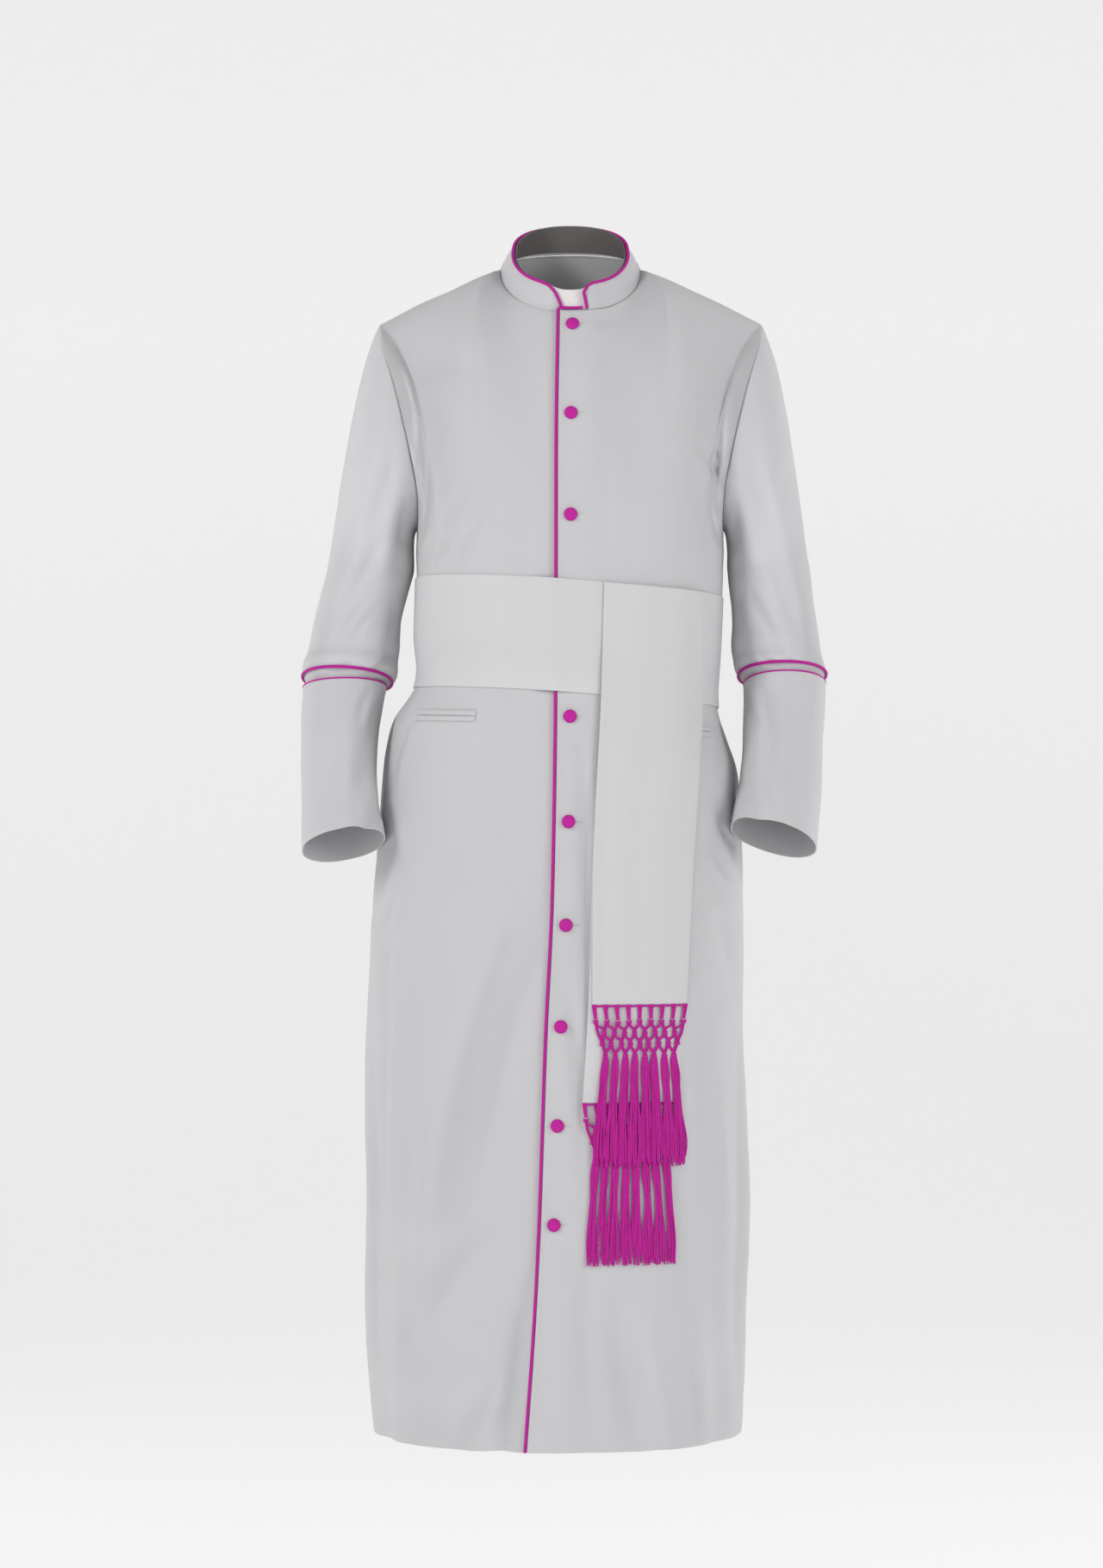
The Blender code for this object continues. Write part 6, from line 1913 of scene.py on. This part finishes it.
def make_fringe(node, edges_table, top, lift, seed, spread):
    """A knotted net with its hanging bundles, on the form of the skirt under it."""
    place = NetPlane(edges_table, top, lift)
    random = np.random.default_rng(seed + 100)
    pitch = (place.width - 2 * KNOT_HALF_WIDTH) / (KNOT_ROWS[0][1] - 1)
    centres = []
    for down, count, share in KNOT_ROWS:
        centres.append([((index - (count - 1) / 2) * pitch * share
                         + random.normal() * 0.35, down + random.normal() * 0.4)
                        for index in range(count)])
    parts = heading_parts(place, centres[0], pitch)
    parts += net_parts(place, centres)
    parts += side_parts(place, centres)
    knots = [knot for row in centres for knot in row]
    for number, (across, down) in enumerate(knots, start=1):
        parts += knot_parts(place, across, down, KNOT_SIZE, seed * 100 + number)
    parts += bundle_parts(place, centres[-1], pitch, spread, random)
    points, faces, uv = join_parts(parts)
    item = make_object(f"trim_{node}", points, faces, FRINGE_THREAD, uv)
    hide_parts(node)


for fringe_row in FRINGES:
    make_fringe(*fringe_row)


# Pockets
ON_FRONT = {"left": [], "right": []}


def make_pockets():
    """Two lips at each pocket, domed across and flatter at their ends."""
    rows = np.array([-0.5, -0.44, -0.33, -0.16, 0.0, 0.16, 0.33, 0.44, 0.5])
    columns = np.arange(LIP_COLUMNS)
    dome = np.sqrt(np.clip(1 - (2 * rows) ** 2, 0, 1))[:, None]
    ends = ease(np.minimum(columns, LIP_COLUMNS - 1 - columns) / 3.0)[None]
    lift = LIP_LIFT + 0.0002 + 0.0016 * dome * (0.35 + 0.65 * ends)
    for side_name, side in (("left", 1.0), ("right", -1.0)):
        for lip_name, shift in (("upper", 0.5), ("lower", -0.5)):
            stations = side * np.linspace(*POCKET_STATIONS, LIP_COLUMNS)
            heights = POCKET_HEIGHT + shift * (LIP + SEAM_GAP) + rows * LIP
            outer, _ = robe_surface(stations[None], level_of(heights)[:, None], lift)
            name = f"pocket_{side_name}_{lip_name}"
            item = shell(f"robe_{name}", outer, LIP_SHELL, ROBE_CLOTH, [name],
                         axis=(0.0, 0.0))
            ON_FRONT[side_name].append(item)


make_pockets()


# Stitching


def stitch_line(name, points, normals, pitch, length, radius):
    """A row of stitches, each a short thread that dips into the cloth at its ends."""
    points = np.asarray(points, float)
    lengths = np.concatenate([[0], np.cumsum(np.linalg.norm(np.diff(points, axis=0), axis=1))])
    count = int(lengths[-1] / pitch)
    starts = (np.arange(count) + 0.15) * pitch
    shares = np.linspace(0, 1, 5)
    rise = np.array([-0.00015, 0.00022, 0.0003, 0.00022, -0.00015])
    places = starts[:, None] + shares[None] * length

    def at(values):
        return np.stack([np.interp(places.ravel(), lengths, values[:, axis])
                         for axis in range(3)], axis=-1).reshape(count, 5, 3)

    centres = at(points)
    outs = unit(at(normals))
    centres = centres + outs * rise[None, :, None]
    along = unit(centres[:, -1:] - centres[:, :1])
    side = unit(np.cross(along, outs))
    out = np.cross(side, along)
    corners = np.array([(1, 0), (0, 1), (-1, 0), (0, -1)]) * radius
    taper = np.array([0.5, 1.0, 1.0, 1.0, 0.5])[None, :, None, None]
    rings = centres[:, :, None] + taper * (side[:, :, None] * corners[None, None, :, :1]
                                           + out[:, :, None] * corners[None, None, :, 1:])
    vertices = rings.reshape(-1, 3)
    base = np.arange(count)[:, None, None] * 20
    ring = np.arange(4)[None, :, None] * 4
    corner = np.arange(4)[None, None, :]
    following = (corner + 1) % 4
    quads = np.stack([base + ring + corner, base + ring + following,
                      base + ring + 4 + following, base + ring + 4 + corner],
                     axis=-1).reshape(-1, 4)
    caps = np.concatenate([np.arange(count)[:, None] * 20 + np.array([3, 2, 1, 0]),
                           np.arange(count)[:, None] * 20 + np.array([16, 17, 18, 19])])
    faces = np.concatenate([quads, caps])
    make_object(name, vertices, faces.tolist(), STITCH_THREAD, np.zeros((faces.size, 2)))


def stitched(name, station, level, stitch=SEAM_STITCH):
    points, normals = robe_surface(station, level)
    stitch_line(name, points, normals, *stitch)


def make_stitching():
    levels = np.concatenate([np.linspace(0.0, 1.0, 240)[1:-1], np.linspace(1.0, 1.975, 90)])
    stitched("stitch_front_edge", edge_station(levels, STITCH_FROM_EDGE), levels)
    for side_name, side in (("left", 1.0), ("right", -1.0)):
        for row, shift in (("upper", 1), ("lower", -1)):
            stations = side * np.linspace(POCKET_STATIONS[0] - 0.6, POCKET_STATIONS[1] + 0.6, 60)
            height = POCKET_HEIGHT + shift * (LIP + STITCH_FROM_LIP)
            stitched(f"stitch_pocket_{side_name}_{row}", stations,
                     np.full(60, level_of(height)))
    # each buttonhole lies across, from behind its button out to the side
    reach = np.linspace(*(BUTTON_FROM_EDGE + away for away in BUTTONHOLE_REACH), 24)
    for number, height in enumerate(BUTTON_HEIGHTS, start=1):
        stations = station_at(edge_at(height) + reach, float(front_level(height)))
        for row, rise in (("upper", BUTTONHOLE_HALF_HEIGHT), ("lower", -BUTTONHOLE_HALF_HEIGHT)):
            stitched(f"stitch_buttonhole_{number}_{row}", stations,
                     float(front_level(height + rise)), BUTTONHOLE_STITCH)
    turns = np.linspace(8.0, 352.0, 260)
    points, normals = collar_point(turns, 0.10)
    keep = ((turns > neck_turn_at(COLLAR_LEFT_END) + 3)
            & (turns < 360 + neck_turn_at(COLLAR_RIGHT_END) - 3))
    stitch_line("stitch_collar", points[keep] + normals[keep] * 0.0003 + (0, 0, SEAM_GAP),
                normals[keep], *SEAM_STITCH)


make_stitching()


# Sheets of cloth: the part of each cut that shows
SHEETS = [
    # piece, width and length, area, how it is held, on what
    ("robe_front_left", (0.42, 1.42), 0.45, "hung", ["collar", "robe_back"]),
    ("robe_front_right", (0.42, 1.42), 0.46, "hung", ["collar", "robe_back"]),
    ("robe_back", (0.78, 1.44), 0.90, "hung", ["collar"]),
    ("robe_sleeve_left", (0.40, 0.46), 0.125, "hung", ["robe_front_left", "robe_back"]),
    ("robe_sleeve_right", (0.40, 0.47), 0.130, "hung", ["robe_front_right", "robe_back"]),
    ("robe_cuff_left", (0.335, 0.205), 0.067, "stretched", ["robe_sleeve_left"]),
    ("robe_cuff_right", (0.335, 0.205), 0.067, "stretched", ["robe_sleeve_right"]),
    ("robe_collar", (0.46, 0.034), 0.0142, "stretched", ["robe_front_left", "robe_back"]),
    ("robe_collar_band", (0.42, 0.034), 0.0130, "stretched", ["robe_collar"]),
    ("sash_band_cloth", (1.04, 0.134), 0.139, "stretched", ["robe_front_left", "robe_back"]),
    ("sash_tail_front_cloth", (0.135, 0.50), 0.0645, "hung", ["sash_band_cloth"]),
    ("sash_tail_rear_cloth", (0.125, 0.48), 0.0576, "hung", ["sash_band_cloth"]),
]

# Floor, backdrop and light


def make_backdrop():
    """A seamless pale studio: a round floor that bends up into a low wall."""
    bend = np.linspace(0, pi / 2, 20)
    inner = BACKDROP_RADIUS - BACKDROP_BEND
    profile = [(0.0, 0.0), (inner / 2, 0.0)]
    profile += [(inner + BACKDROP_BEND * float(np.sin(turn)),
                 BACKDROP_BEND * (1 - float(np.cos(turn)))) for turn in bend]
    profile.append((BACKDROP_RADIUS, BACKDROP_HEIGHT))
    sides = 96
    angle = np.arange(sides) * 2 * pi / sides
    points = [(0.0, 0.0, FLOOR_HEIGHT)]
    for radius, height in profile[1:]:
        points += [(radius * float(np.cos(turn)), radius * float(np.sin(turn)),
                    FLOOR_HEIGHT + height) for turn in angle]
    faces = [(0, 1 + index, 1 + (index + 1) % sides) for index in range(sides)]
    for ring in range(len(profile) - 2):
        low = 1 + ring * sides
        faces += [(low + index, low + sides + index, low + sides + (index + 1) % sides,
                   low + (index + 1) % sides) for index in range(sides)]
    mesh = bpy.data.meshes.new("backdrop")
    mesh.from_pydata(points, [], faces)
    mesh.shade_smooth()
    material = plain_material("backdrop_paper", BACKDROP_COLOUR, 0.95, 40.0, 0.0)
    shader = material.node_tree.nodes["Principled BSDF"]
    shader.inputs["Emission Color"].default_value = (1.0, 1.0, 1.0, 1)
    shader.inputs["Emission Strength"].default_value = BACKDROP_GLOW
    material.cycles.emission_sampling = "NONE"
    mesh.materials.append(material)
    item = bpy.data.objects.new("backdrop", mesh)
    bpy.context.scene.collection.objects.link(item)


def add_area_light(name, place, target, size, power):
    data = bpy.data.lights.new(name, "AREA")
    data.shape = "SQUARE"
    data.size = size
    data.energy = power
    item = bpy.data.objects.new(name, data)
    item.location = place
    item.visible_camera = False
    item.rotation_euler = (Vector(target) - Vector(place)).to_track_quat("-Z", "Y").to_euler()
    bpy.context.scene.collection.objects.link(item)


def make_lights():
    world = bpy.data.worlds.new("studio")
    world.use_nodes = True
    shade = world.node_tree.nodes["Background"]
    shade.inputs["Color"].default_value = (1.0, 1.0, 1.0, 1)
    shade.inputs["Strength"].default_value = WORLD_STRENGTH
    bpy.context.scene.world = world
    bpy.context.scene.view_settings.view_transform = "Standard"
    for row in LIGHTS:
        add_area_light(*row)


def declare_sheets():
    """Looks up every cloth piece's supports and the pieces on it, and keeps none of them."""
    for name, flat, area, held, rests in SHEETS:
        pieces = ON_FRONT.get(name.replace("robe_front_", ""), [])
        if name.startswith("sash_tail"):
            pieces = [bpy.data.objects[name.replace("sash_tail", "trim_fringe")
                                       .replace("_cloth", "")]]
        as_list(rests)
        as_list(pieces)


make_backdrop()
make_lights()

declare_sheets()
